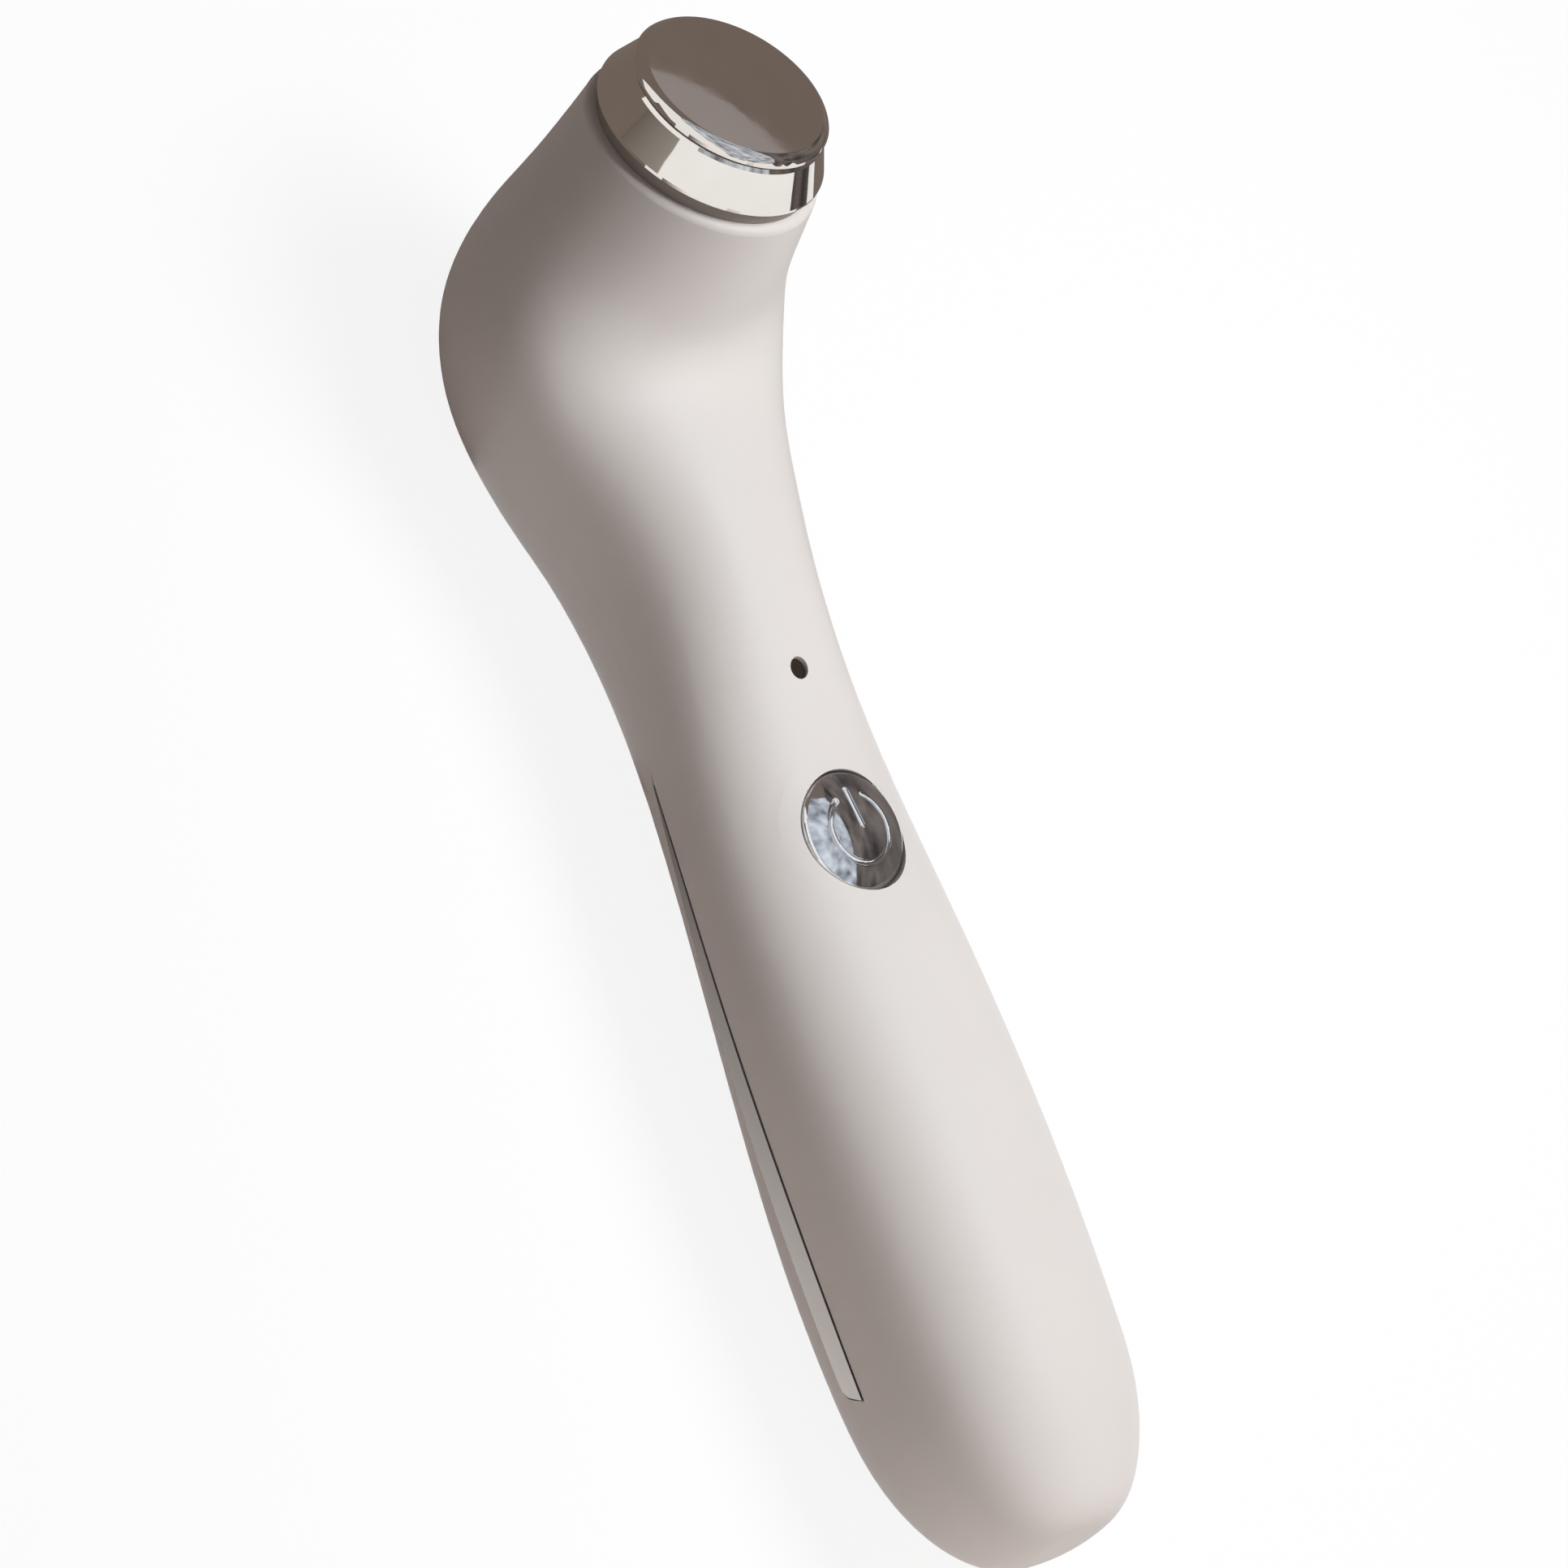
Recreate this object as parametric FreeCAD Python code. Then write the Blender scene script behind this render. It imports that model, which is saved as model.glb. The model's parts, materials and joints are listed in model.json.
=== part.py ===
import FreeCAD, Part
import math
import os

Vector = FreeCAD.Vector
Rotation = FreeCAD.Rotation
Placement = FreeCAD.Placement

# Facial massager, lying on its back. Millimetres. Everything is built in the handle frame:
# x runs along the handle axis from the butt to the head, z points to the button, y to the left side.
# The finished pieces are then pitched onto the two lowest places of the back.

# Centreline of the body, from the butt face to the rim of the head
BUTT_BEND_LENGTH = 30.0
BUTT_BEND_ANGLE = 11.8
HANDLE_PAST_CELL = 46.3
NECK_BEND_LENGTH = 34.0
HEAD_ANGLE = 66.9
HEAD_STRAIGHT = 9.5

# Half sizes of the body at its stations: width, depth towards the front, depth towards the back
BUTT_HALF_WIDTH = 13.7
BUTT_FRONT_DEPTH = 12.4
BUTT_BACK_DEPTH = 13.4
HEEL_AT = 17.0
HEEL_HALF_WIDTH = 15.5
HEEL_FRONT_DEPTH = 14.2
HEEL_BACK_DEPTH = 14.3
GRIP_AT = 37.0
GRIP_HALF_WIDTH = 16.3
GRIP_FRONT_DEPTH = 14.5
GRIP_BACK_DEPTH = 14.5
PALM_PAST_CELL = 2.5
PALM_HALF_WIDTH = 15.8
PALM_FRONT_DEPTH = 12.4
PALM_BACK_DEPTH = 10.7
WAIST_PAST_BUTTON = 14.3
WAIST_HALF_WIDTH = 13.5
WAIST_FRONT_DEPTH = 11.3
WAIST_BACK_DEPTH = 9.9
NAPE_BEFORE_BEND = 10.2
NAPE_HALF_WIDTH = 13.5
NAPE_FRONT_DEPTH = 13.6
NAPE_BACK_DEPTH = 12.6
SHOULDER_INTO_BEND = 4.9
SHOULDER_HALF_WIDTH = 17.4
SHOULDER_FRONT_DEPTH = 13.9
SHOULDER_BACK_DEPTH = 16.0
BULGE_INTO_BEND = 18.3
BULGE_HALF_WIDTH = 19.9
BULGE_FRONT_DEPTH = 13.0
BULGE_BACK_DEPTH = 19.8
CROWN_BEFORE_END = 2.3
CROWN_HALF_WIDTH = 16.7
CROWN_FRONT_DEPTH = 13.9
CROWN_BACK_DEPTH = 14.7
SEAT_BEFORE_END = 4.8
SEAT_HALF_WIDTH = 14.9
SEAT_FRONT_DEPTH = 13.9
SEAT_BACK_DEPTH = 14.0
RIM_RADIUS = 13.8
RIM_ROUNDING = 0.9

# Cross section: a soft square in the handle that becomes a circle at the rim
HANDLE_POWER = 2.3
RIM_POWER = 2.0
SQUARE_SHARE = 0.75
SECTION_POINTS = 32

# Rounded butt with a small flat end face
BUTT_ROUNDING = 20.2
BUTT_POWER = 2.25
BUTT_FACE_SHARE = 0.25
BUTT_SECTIONS = 8
BODY_SECTIONS = 24
WALK_STEP = 0.5
REST_SAMPLES = 400
REST_ROUNDS = 20
REST_FLAT = 0.25

# Shell halves
WALL = 2.0
BUTT_WALL = 3.0
RIM_DEPTH = 3.0
LIP = 1.0
LIP_FIT = 0.1
LIP_HEIGHT = 1.6
PARTING_AT_BUTT = -4.3
PARTING_SLOPE = 1.5

# Side strips, set over the parting line
STRIP_FOOT = 21.8
STRIP_PAST_BUTTON = 12.3
STRIP_WIDTH = 3.0
STRIP_FOOT_CORNER = 1.3
STRIP_SWELL = 0.88
STRIP_TIP_RUN = 8.0
STRIP_KNEE_ALONG = 0.9
STRIP_KNEE_UP = 0.35
STRIP_HEEL_ALONG = 0.5
STRIP_PROUD = 0.15
STRIP_DEPTH = 0.9
STRIP_GAP = 0.2
TONGUE_INSET = 10.0
TONGUE_THICK = 1.0
TONGUE_REACH = 1.8
TONGUE_GAP = 0.05

# Head: seal, collar, plate, gasket and carrier, heights above the rim plane
COLLAR_GAP = 1.8
COLLAR_HEIGHT = 4.7
COLLAR_BASE_RADIUS = 13.4
COLLAR_TOP_RADIUS = 11.5
COLLAR_EDGE = 0.35
SEAL_RADIUS = 12.7
SPIGOT_RADIUS = 10.4
SPIGOT_FIT = 0.1
COLLAR_BORE = 9.3
GASKET_THICK = 0.45
GASKET_WIDTH = 1.3
PLATE_RADIUS = 11.5
PLATE_THICK = 1.3
PLATE_FACE_RADIUS = 10.4
PLATE_EDGE = 0.4
PLATE_BULGE = 0.15
SHANK_FIT = 0.15
SHANK_LENGTH = 2.8
SHANK_WALL = 1.2
CARRIER_FLANGE_RADIUS = 11.2
CARRIER_FLANGE_THICK = 1.5
CARRIER_ROOF = 1.5
CARRIER_WALL = 1.2
CARRIER_CLEAR = 0.2
CARRIER_PINCH = 0.05
HEAD_SCREW_COUNT = 3
HEAD_SCREW_CIRCLE = 5.8
HEAD_BOSS_RADIUS = 1.7
HEATER_RADIUS = 3.6
HEATER_THICK = 0.4
THERMISTOR_LENGTH = 2.0
THERMISTOR_WIDTH = 1.2
THERMISTOR_HEIGHT = 0.8
LEAD_PORT_RADIUS = 1.8

# Screws
SCREW_RADIUS = 0.8
SCREW_HEAD_RADIUS = 1.5
SCREW_HEAD_HEIGHT = 0.9
SCREW_DRIVE_RADIUS = 0.55
SCREW_GRIP = 2.2
SCREW_FIT = 0.05
BOSS_RADIUS = 2.2

# Button and its switch
BUTTON_PAST_CELL = 15.2
BUTTON_RADIUS = 6.85
BUTTON_FIT = 0.2
BUTTON_CROWN = 1.0
BUTTON_DOME = 1.5
BUTTON_ROUNDING = 0.6
BUTTON_TRAVEL = 0.3
FLANGE_OVERHANG = 1.1
FLANGE_THICK = 0.8
FLANGE_STOP_GAP = 0.05
FLANGE_ROOM = 0.35
PAD_THICK = 3.2
STEM_RADIUS = 1.8
SYMBOL_RADIUS = 4.0
SYMBOL_LINE = 0.42
SYMBOL_OPENING = 60.0
SYMBOL_BAR = 4.2
SWITCH_SIDE = 6.0
SWITCH_HEIGHT = 3.5
PLUNGER_RADIUS = 1.6
PLUNGER_FIT = 0.1
PLUNGER_PROUD = 0.8
PLUNGER_SEAT = 1.1
PLUNGER_GAP = 0.05

# Status light
LED_FROM_BUTTON = 18.7
LIGHT_HOLE_RADIUS = 1.25
LIGHT_FIT = 0.08
LIGHT_RECESS = 0.5
LIGHT_FLANGE = 0.9
LIGHT_FLANGE_THICK = 0.8
LED_LENGTH = 3.2
LED_WIDTH = 2.6
LED_HEIGHT = 1.1
LED_AIR = 0.2

# Boards
BOARD_THICK = 1.2
BOARD_TOP = 2.0
BOARD_HALF_WIDTH = 8.0
BOARD_PAST_LED = 5.5
BOARD_AFTER_CELL = 1.0
CHIP_SIDE = 5.0
CHIP_HEIGHT = 1.0
CAPACITOR_LENGTH = 2.0
CAPACITOR_WIDTH = 1.25
CAPACITOR_HEIGHT = 1.2
CAPACITOR_PITCH = 2.6
CAPACITOR_COUNT = 4

# Cell and inner frame
CELL_START = 16.5
CELL_LENGTH = 48.0
CELL_RADIUS = 7.0
CELL_PLAY = 0.15
FRAME_WALL = 1.2
FRAME_SKIRT = 5.0
DECK_THICK = 1.4
EAR_AT = 24.0
EAR_OUT = 10.9
EAR_HALF = 2.1
DECK_SCREW_OUT = 6.0
DECK_SCREW_AFTER_BOARD = 3.5
DECK_TAIL = 3.5
PAD_START = 8.0
PAD_LENGTH = 30.0
PAD_HALF_WIDTH = 4.0
PAD_CLEAR = 0.05

# Vibration motor
MOTOR_RADIUS = 3.5
MOTOR_LENGTH = 14.0
MOTOR_CAP_LENGTH = 2.0
MOTOR_AFTER_DECK = 6.5
MOTOR_BELOW_DECK = 4.5
SHAFT_RADIUS = 0.5
SHAFT_FIT = 0.05
SHAFT_INSIDE = 8.0
WEIGHT_RADIUS = 3.2
WEIGHT_HUB = 1.2
WEIGHT_LENGTH = 4.5
WEIGHT_AIR = 0.6
HOLDER_SIDE = 5.2
HOLDER_UNDER = 0.8
HOLDER_FIT = 0.02
TONGUE_HALF_WIDTH = 6.0

# Charging socket at the back of the butt, over the parting line
SOCKET_SKIN_X = -0.4
SOCKET_TILT = 20.0
SOCKET_WIDTH = 8.94
SOCKET_HEIGHT = 3.26
SOCKET_LENGTH = 7.35
SOCKET_WALL = 0.3
SOCKET_RECESS = 0.4
SOCKET_FIT = 0.18
CORE_WIDTH = 6.7
CORE_HEIGHT = 0.7
CORE_BASE = 2.2
CORE_SET_BACK = 0.8
CHARGE_BOARD_START = 5.0
CHARGE_BOARD_LENGTH = 10.0
CHARGE_BOARD_HALF_WIDTH = 5.0
CHARGE_BOARD_THICK = 1.0
CHARGE_SCREW_OUT = 3.3
CHARGE_SCREW_BACK = 1.9
SHELF_THICK = 1.6

# Leads
LEAD_RADIUS = 0.4
LEAD_BEND = 1.0
HEATER_LEAD_OUT = 0.8
HEATER_LEAD_DROP = 12.0
MOTOR_LEAD_OUT = 2.3
CELL_LEAD_OUT = 2.4
CHARGE_LEAD_OUT = 3.2
LEAD_RISE = 1.9
STRIP_LEAD_BEFORE_BUTTON = 6.7

# Values that follow
HANDLE_STRAIGHT = CELL_LENGTH + HANDLE_PAST_CELL
NECK_START = BUTT_BEND_LENGTH + HANDLE_STRAIGHT
NECK_END = NECK_START + NECK_BEND_LENGTH
BODY_LENGTH = NECK_END + HEAD_STRAIGHT
CELL_END = CELL_START + CELL_LENGTH
PALM_AT = CELL_END + PALM_PAST_CELL
BUTTON_AT = CELL_END + BUTTON_PAST_CELL
WAIST_AT = BUTTON_AT + WAIST_PAST_BUTTON
STRIP_TIP = BUTTON_AT + STRIP_PAST_BUTTON
STRIP_LEAD_AT = BUTTON_AT - STRIP_LEAD_BEFORE_BUTTON
LED_AT = BUTTON_AT + LED_FROM_BUTTON
BOARD_START = CELL_END + CELL_PLAY + FRAME_WALL + BOARD_AFTER_CELL
BOARD_END = LED_AT + BOARD_PAST_LED
BOARD_BOTTOM = BOARD_TOP - BOARD_THICK
DECK_SCREW_AT = BOARD_END + DECK_SCREW_AFTER_BOARD
DECK_END = DECK_SCREW_AT + DECK_TAIL
MOTOR_START = DECK_END + MOTOR_AFTER_DECK
MOTOR_END = MOTOR_START + MOTOR_CAP_LENGTH + MOTOR_LENGTH
MOTOR_Z = BOARD_BOTTOM - DECK_THICK - MOTOR_BELOW_DECK
COLLAR_TOP = COLLAR_GAP + COLLAR_HEIGHT
PLATE_UNDER = COLLAR_TOP + GASKET_THICK
PLATE_FACE = PLATE_UNDER + PLATE_THICK
BIG = 300.0


def ease(share):
    """Smooth step from 0 to 1."""
    share = min(max(share, 0.0), 1.0)
    return share * share * (3.0 - 2.0 * share)


def tilt(distance):
    """Angle of the centreline from the handle axis towards the front, in radians."""
    butt = math.radians(BUTT_BEND_ANGLE) * ease(1.0 - distance / BUTT_BEND_LENGTH)
    share = min(max((distance - NECK_START) / NECK_BEND_LENGTH, 0.0), 1.0)
    neck = math.radians(HEAD_ANGLE) * (share + ease(share)) / 2.0
    return neck - butt


def walk(distance):
    """Place on the centreline, counted from the butt, by adding up short steps."""
    steps = max(1, math.ceil(distance / WALK_STEP))
    step = distance / steps
    angles = [tilt((k + 0.5) * step) for k in range(steps)]
    return Vector(sum(math.cos(a) for a in angles) * step, 0, sum(math.sin(a) for a in angles) * step)


AXIS_DROP = walk(BUTT_BEND_LENGTH).z


def centre(distance):
    """Centreline point in the handle frame, whose axis is the straight part of the centreline."""
    return walk(distance) - Vector(0, 0, AXIS_DROP)


def body_sizes():
    """Curve of half width, front depth and back depth over the distance along the centreline."""
    stations = [
        (0.0, BUTT_HALF_WIDTH, BUTT_FRONT_DEPTH, BUTT_BACK_DEPTH),
        (HEEL_AT, HEEL_HALF_WIDTH, HEEL_FRONT_DEPTH, HEEL_BACK_DEPTH),
        (GRIP_AT, GRIP_HALF_WIDTH, GRIP_FRONT_DEPTH, GRIP_BACK_DEPTH),
        (PALM_AT, PALM_HALF_WIDTH, PALM_FRONT_DEPTH, PALM_BACK_DEPTH),
        (WAIST_AT, WAIST_HALF_WIDTH, WAIST_FRONT_DEPTH, WAIST_BACK_DEPTH),
        (NECK_START - NAPE_BEFORE_BEND, NAPE_HALF_WIDTH, NAPE_FRONT_DEPTH, NAPE_BACK_DEPTH),
        (NECK_START + SHOULDER_INTO_BEND, SHOULDER_HALF_WIDTH, SHOULDER_FRONT_DEPTH, SHOULDER_BACK_DEPTH),
        (NECK_START + BULGE_INTO_BEND, BULGE_HALF_WIDTH, BULGE_FRONT_DEPTH, BULGE_BACK_DEPTH),
        (NECK_END - CROWN_BEFORE_END, CROWN_HALF_WIDTH, CROWN_FRONT_DEPTH, CROWN_BACK_DEPTH),
        (BODY_LENGTH - SEAT_BEFORE_END, SEAT_HALF_WIDTH, SEAT_FRONT_DEPTH, SEAT_BACK_DEPTH),
        (BODY_LENGTH, RIM_RADIUS, RIM_RADIUS, RIM_RADIUS),
    ]
    curve = Part.BSplineCurve()
    curve.interpolate(Points=[Vector(*row[1:]) for row in stations], Parameters=[row[0] for row in stations])
    return curve


SIZES = body_sizes()


def butt_share(distance):
    """Share of the full section that the rounded butt leaves."""
    left = max(0.0, 1.0 - distance / BUTT_ROUNDING)
    return BUTT_FACE_SHARE + (1.0 - BUTT_FACE_SHARE) * (1.0 - left ** BUTT_POWER) ** (1.0 / BUTT_POWER)


def half_sizes(distance, offset):
    """Half width, front depth and back depth of the body grown by an offset."""
    return SIZES.value(distance) * butt_share(distance) + Vector(offset, offset, offset)


def power(distance):
    """Exponent of the section: soft square in the handle, circle at the rim."""
    share = min(max((distance / BODY_LENGTH - SQUARE_SHARE) / (1.0 - SQUARE_SHARE), 0.0), 1.0)
    return HANDLE_POWER + (RIM_POWER - HANDLE_POWER) * share


def section_point(distance, offset, angle):
    """Point of the section at an angle counted from the left side towards the front."""
    sizes = half_sizes(distance, offset)
    bend = 2.0 / power(distance)
    side = math.copysign(abs(math.cos(angle)) ** bend, math.cos(angle)) * sizes.x
    rise = math.copysign(abs(math.sin(angle)) ** bend, math.sin(angle))
    rise = rise * (sizes.y if rise > 0 else sizes.z)
    lean = tilt(distance)
    return centre(distance) + Vector(-rise * math.sin(lean), side, rise * math.cos(lean))


def section(distance, offset):
    """Closed smooth curve of the body at a distance, starting at the back."""
    share = [k / SECTION_POINTS for k in range(SECTION_POINTS)]
    points = [section_point(distance, offset, 2.0 * math.pi * s - math.pi / 2.0) for s in share]
    curve = Part.BSplineCurve()
    curve.interpolate(Points=points, PeriodicFlag=True, Parameters=share + [1.0])
    return curve


def skin(sections, parameters):
    """Smooth face through closed sections at the given parameters."""
    lines = []
    for k in range(1, sections[0].NbPoles + 1):
        line = Part.BSplineCurve()
        line.interpolate(Points=[s.getPole(k) for s in sections], Parameters=parameters)
        lines.append(line)
    surface = Part.BSplineSurface()
    surface.buildFromPolesMultsKnots(
        [line.getPoles() for line in lines],
        sections[0].getMultiplicities(), lines[0].getMultiplicities(),
        sections[0].getKnots(), lines[0].getKnots(),
        True, False, sections[0].Degree, lines[0].Degree)
    return surface.toShape()


def side_lengths(distances, offset):
    """Running length of the body's left side line at the given distances."""
    points = [section_point(d, offset, 0.0) for d in distances]
    lengths = [0.0]
    for before, after in zip(points, points[1:]):
        lengths.append(lengths[-1] + before.distanceToPoint(after))
    return lengths


def body(offset, start, end):
    """Solid of the body grown by an offset, between two distances along the centreline."""
    depth = BUTT_ROUNDING - start
    turns = [math.pi / 2.0 * k / BUTT_SECTIONS for k in range(BUTT_SECTIONS)]
    steps = [(end - BUTT_ROUNDING) * k / BODY_SECTIONS for k in range(BODY_SECTIONS + 1)]
    distances = [start + depth * (1.0 - math.cos(t)) for t in turns] + [BUTT_ROUNDING + s for s in steps]
    side = skin([section(d, offset) for d in distances], side_lengths(distances, offset))
    ends = [Part.Face(Part.Wire(e)) for e in side.Edges if e.isClosed()]
    shell = Part.Compound([side] + ends)
    shell.sewShape()
    return Part.Solid(shell.Shells[0])


def inside(depth):
    """Solid of the hollow, set further in by a depth on all sides."""
    return body(-WALL - depth, BUTT_WALL + depth, BODY_LENGTH - RIM_DEPTH - depth)


def front_height(distance, offset):
    """Height of the body's front line over the handle axis, in the straight part."""
    return half_sizes(distance, offset).y


def head_place():
    """Placement whose z axis runs out of the head along its axis, from the rim plane."""
    return Placement(centre(BODY_LENGTH), Rotation(Vector(0, 1, 0), 90.0 - HEAD_ANGLE))


def socket_place():
    """Placement at the socket's mouth whose x axis runs into the body."""
    return Placement(Vector(SOCKET_SKIN_X, 0, PARTING_AT_BUTT), Rotation(Vector(0, 1, 0), -SOCKET_TILT))


def parting_place():
    """Placement whose xy plane is the parting plane."""
    return Placement(Vector(0, 0, PARTING_AT_BUTT), Rotation(Vector(0, 1, 0), -PARTING_SLOPE))


def placed(shape, place):
    """The shape moved from a local frame into the handle frame."""
    shape.Placement = place.multiply(shape.Placement)
    return shape


def box(x0, x1, y0, y1, z0, z1):
    """Box between two corners."""
    return Part.makeBox(x1 - x0, y1 - y0, z1 - z0, Vector(x0, y0, z0))


def post(radius, x, y, z0, z1):
    """Upright cylinder."""
    return Part.makeCylinder(radius, z1 - z0, Vector(x, y, z0))


def rod(radius, x0, x1, z):
    """Cylinder along the handle axis at y = 0."""
    return Part.makeCylinder(radius, x1 - x0, Vector(x0, 0, z), Vector(1, 0, 0))


def turned(points):
    """Solid turned about the local z axis from (radius, height) points."""
    corners = [Vector(r, 0, h) for r, h in points]
    face = Part.Face(Part.makePolygon(corners + corners[:1]))
    return face.revolve(Vector(0, 0, 0), Vector(0, 0, 1), 360)


def slot_bar(width, height, x0, x1):
    """Bar with round ends along the local x axis."""
    radius = height / 2.0
    flat = width / 2.0 - radius
    low = [Vector(x0, -flat, -radius), Vector(x0, flat, -radius)]
    high = [Vector(x0, flat, radius), Vector(x0, -flat, radius)]
    edges = [
        Part.LineSegment(low[0], low[1]).toShape(),
        Part.Arc(low[1], Vector(x0, flat + radius, 0), high[0]).toShape(),
        Part.LineSegment(high[0], high[1]).toShape(),
        Part.Arc(high[1], Vector(x0, -flat - radius, 0), low[0]).toShape(),
    ]
    return Part.Face(Part.Wire(edges)).extrude(Vector(x1 - x0, 0, 0))


def screw(seat, direction, length):
    """Pan head screw whose head stands off the seat and whose shank runs along the direction."""
    shank = Part.makeCylinder(SCREW_RADIUS, length, seat, direction)
    head = Part.makeCylinder(SCREW_HEAD_RADIUS, SCREW_HEAD_HEIGHT, seat, direction * -1)
    drive_at = seat - direction * SCREW_HEAD_HEIGHT
    drive = Part.makeCylinder(SCREW_DRIVE_RADIUS, SCREW_HEAD_HEIGHT / 2.0, drive_at, direction)
    return shank.fuse(head).removeSplitter().cut(drive)


def route(points, bend):
    """Wire of straight runs joined by tangent arcs at the inner points."""
    edges = []
    cursor = points[0]
    for before, corner, after in zip(points, points[1:], points[2:]):
        back = (before - corner).normalize()
        ahead = (after - corner).normalize()
        half_turn = (math.pi - back.getAngle(ahead)) / 2.0
        cut = bend * math.tan(half_turn)
        first = corner + back * cut
        last = corner + ahead * cut
        middle = corner + (back + ahead).normalize() * (bend / math.cos(half_turn) - bend)
        edges.append(Part.LineSegment(cursor, first).toShape())
        edges.append(Part.Arc(first, middle, last).toShape())
        cursor = last
    edges.append(Part.LineSegment(cursor, points[-1]).toShape())
    return Part.Wire(edges)


def lead(points, bend=LEAD_BEND):
    """Round lead along a route."""
    path = route(points, bend)
    circle = Part.makeCircle(LEAD_RADIUS, points[0], points[1] - points[0])
    return path.makePipeShell([Part.Wire(circle)], True, False)


def strip_prism(gap, side):
    """Leaf outline of a side strip, drawn out sideways; side is 1 on the left and -1 on the right."""
    half = STRIP_WIDTH / 2.0 + gap
    foot = STRIP_FOOT - gap
    tip = Vector(STRIP_TIP + STRIP_TIP_RUN * gap, 0, 0)
    middle = (STRIP_FOOT + STRIP_TIP) / 2.0
    swell = STRIP_SWELL * STRIP_WIDTH / 2.0 + gap
    front = Vector(foot, 0, half)
    back = Vector(foot + 2.0 * STRIP_FOOT_CORNER, 0, -half)
    knee = STRIP_FOOT_CORNER * STRIP_KNEE_UP - half
    corner = Vector(foot + STRIP_KNEE_ALONG * STRIP_FOOT_CORNER, 0, knee)
    heel = Vector(foot + STRIP_HEEL_ALONG * STRIP_FOOT_CORNER, 0, STRIP_FOOT_CORNER - half)
    edges = [
        Part.Arc(tip, Vector(middle, 0, swell), front).toShape(),
        Part.LineSegment(front, heel).toShape(),
        Part.Arc(heel, corner, back).toShape(),
        Part.Arc(back, Vector(middle, 0, -swell), tip).toShape(),
    ]
    face = Part.Face(Part.Wire(edges))
    return placed(face.extrude(Vector(0, side * BIG, 0)), parting_place())


def tongue_slab(gap, side):
    """Slab in the parting plane that holds a strip between the shell halves."""
    x0 = STRIP_FOOT + TONGUE_INSET - gap
    x1 = STRIP_TIP - TONGUE_INSET + gap
    half = TONGUE_THICK / 2.0 + gap
    slab = box(x0, x1, min(0, side * BIG), max(0, side * BIG), -half, half)
    return placed(slab, parting_place())


class Forms:
    """Solids of the body that several pieces share."""

    def __init__(self):
        self.outer = rounded_rim(body(0.0, 0.0, BODY_LENGTH))
        self.hollow = inside(0.0)
        self.lip = inside(LIP_FIT)
        self.rear_hollow = inside(LIP_FIT + LIP)
        self.strip_top = body(STRIP_PROUD, 0.0, BODY_LENGTH)
        self.strip_floor = body(-STRIP_DEPTH, 0.0, BODY_LENGTH)
        self.front_half = placed(box(-BIG, BIG, -BIG, BIG, 0, BIG), parting_place())
        self.lip_band = placed(box(-BIG, BIG, -BIG, BIG, 0, LIP_HEIGHT), parting_place())


def strip(forms, side):
    """Side strip: curved leaf on the body's skin with a tongue that passes between the halves."""
    leaf = strip_prism(0.0, side).common(forms.strip_top).cut(forms.strip_floor)
    reach = inside(LIP_FIT + LIP + TONGUE_REACH)
    middle_skin = body(-STRIP_DEPTH / 2.0, 0.0, BODY_LENGTH)
    tongue = tongue_slab(0.0, side).common(middle_skin).cut(reach)
    return leaf.fuse(tongue)


def strip_cut(side):
    """Room for a side strip in the shell halves."""
    pocket = strip_prism(STRIP_GAP, side).cut(body(-STRIP_DEPTH - TONGUE_GAP, 0.0, BODY_LENGTH))
    return pocket.fuse(tongue_slab(TONGUE_GAP, side))


def button_levels():
    """Heights of the button: edge, crown, stop face under the pad, flange top and stem foot."""
    skin = front_height(BUTTON_AT, 0.0)
    crown = skin + BUTTON_CROWN
    stop = skin - PAD_THICK
    stem_foot = BOARD_TOP + SWITCH_HEIGHT + PLUNGER_PROUD + PLUNGER_GAP
    return crown - BUTTON_DOME, crown, stop, stop - FLANGE_STOP_GAP, stem_foot


def button_room():
    """Hole and flange pocket of the button in the front shell."""
    stop = button_levels()[2]
    hole = post(BUTTON_RADIUS + BUTTON_FIT, BUTTON_AT, 0, 0, BIG)
    flange_radius = BUTTON_RADIUS + FLANGE_OVERHANG + FLANGE_ROOM
    return hole.fuse(post(flange_radius, BUTTON_AT, 0, 0, stop))


def button_pad(forms):
    """Thickening of the front shell round the button."""
    radius = BUTTON_RADIUS + FLANGE_OVERHANG + FLANGE_ROOM + WALL / 2.0
    pad = post(radius, BUTTON_AT, 0, button_levels()[2], BIG)
    return pad.common(forms.outer)


def frame_bosses():
    """Bosses of the front shell that take the frame screws, with their pilot holes."""
    room = inside(-WALL / 2.0)
    solids = []
    pilots = []
    for x, y in frame_screw_places():
        solids.append(post(BOSS_RADIUS, x, y, BOARD_BOTTOM, BIG).common(room))
        pilots.append(post(SCREW_RADIUS + SCREW_FIT, x, y, 0, BOARD_BOTTOM + SCREW_GRIP + SCREW_FIT))
    return solids, pilots


def frame_screw_places():
    """Places of the four frame screws."""
    ears = [(EAR_AT, side * EAR_OUT) for side in (1, -1)]
    return ears + [(DECK_SCREW_AT, side * DECK_SCREW_OUT) for side in (1, -1)]


def light_hole():
    """Hole of the status light with the seat of the light pipe's flange."""
    return post(LIGHT_HOLE_RADIUS, LED_AT, 0, 0, BIG)


def socket_hole():
    """Hole of the charging socket, half in each shell."""
    size = 2.0 * SOCKET_FIT
    bar = slot_bar(SOCKET_WIDTH + size, SOCKET_HEIGHT + size, -BUTT_WALL, BUTT_ROUNDING / 2.0)
    return placed(bar, socket_place())


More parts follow.
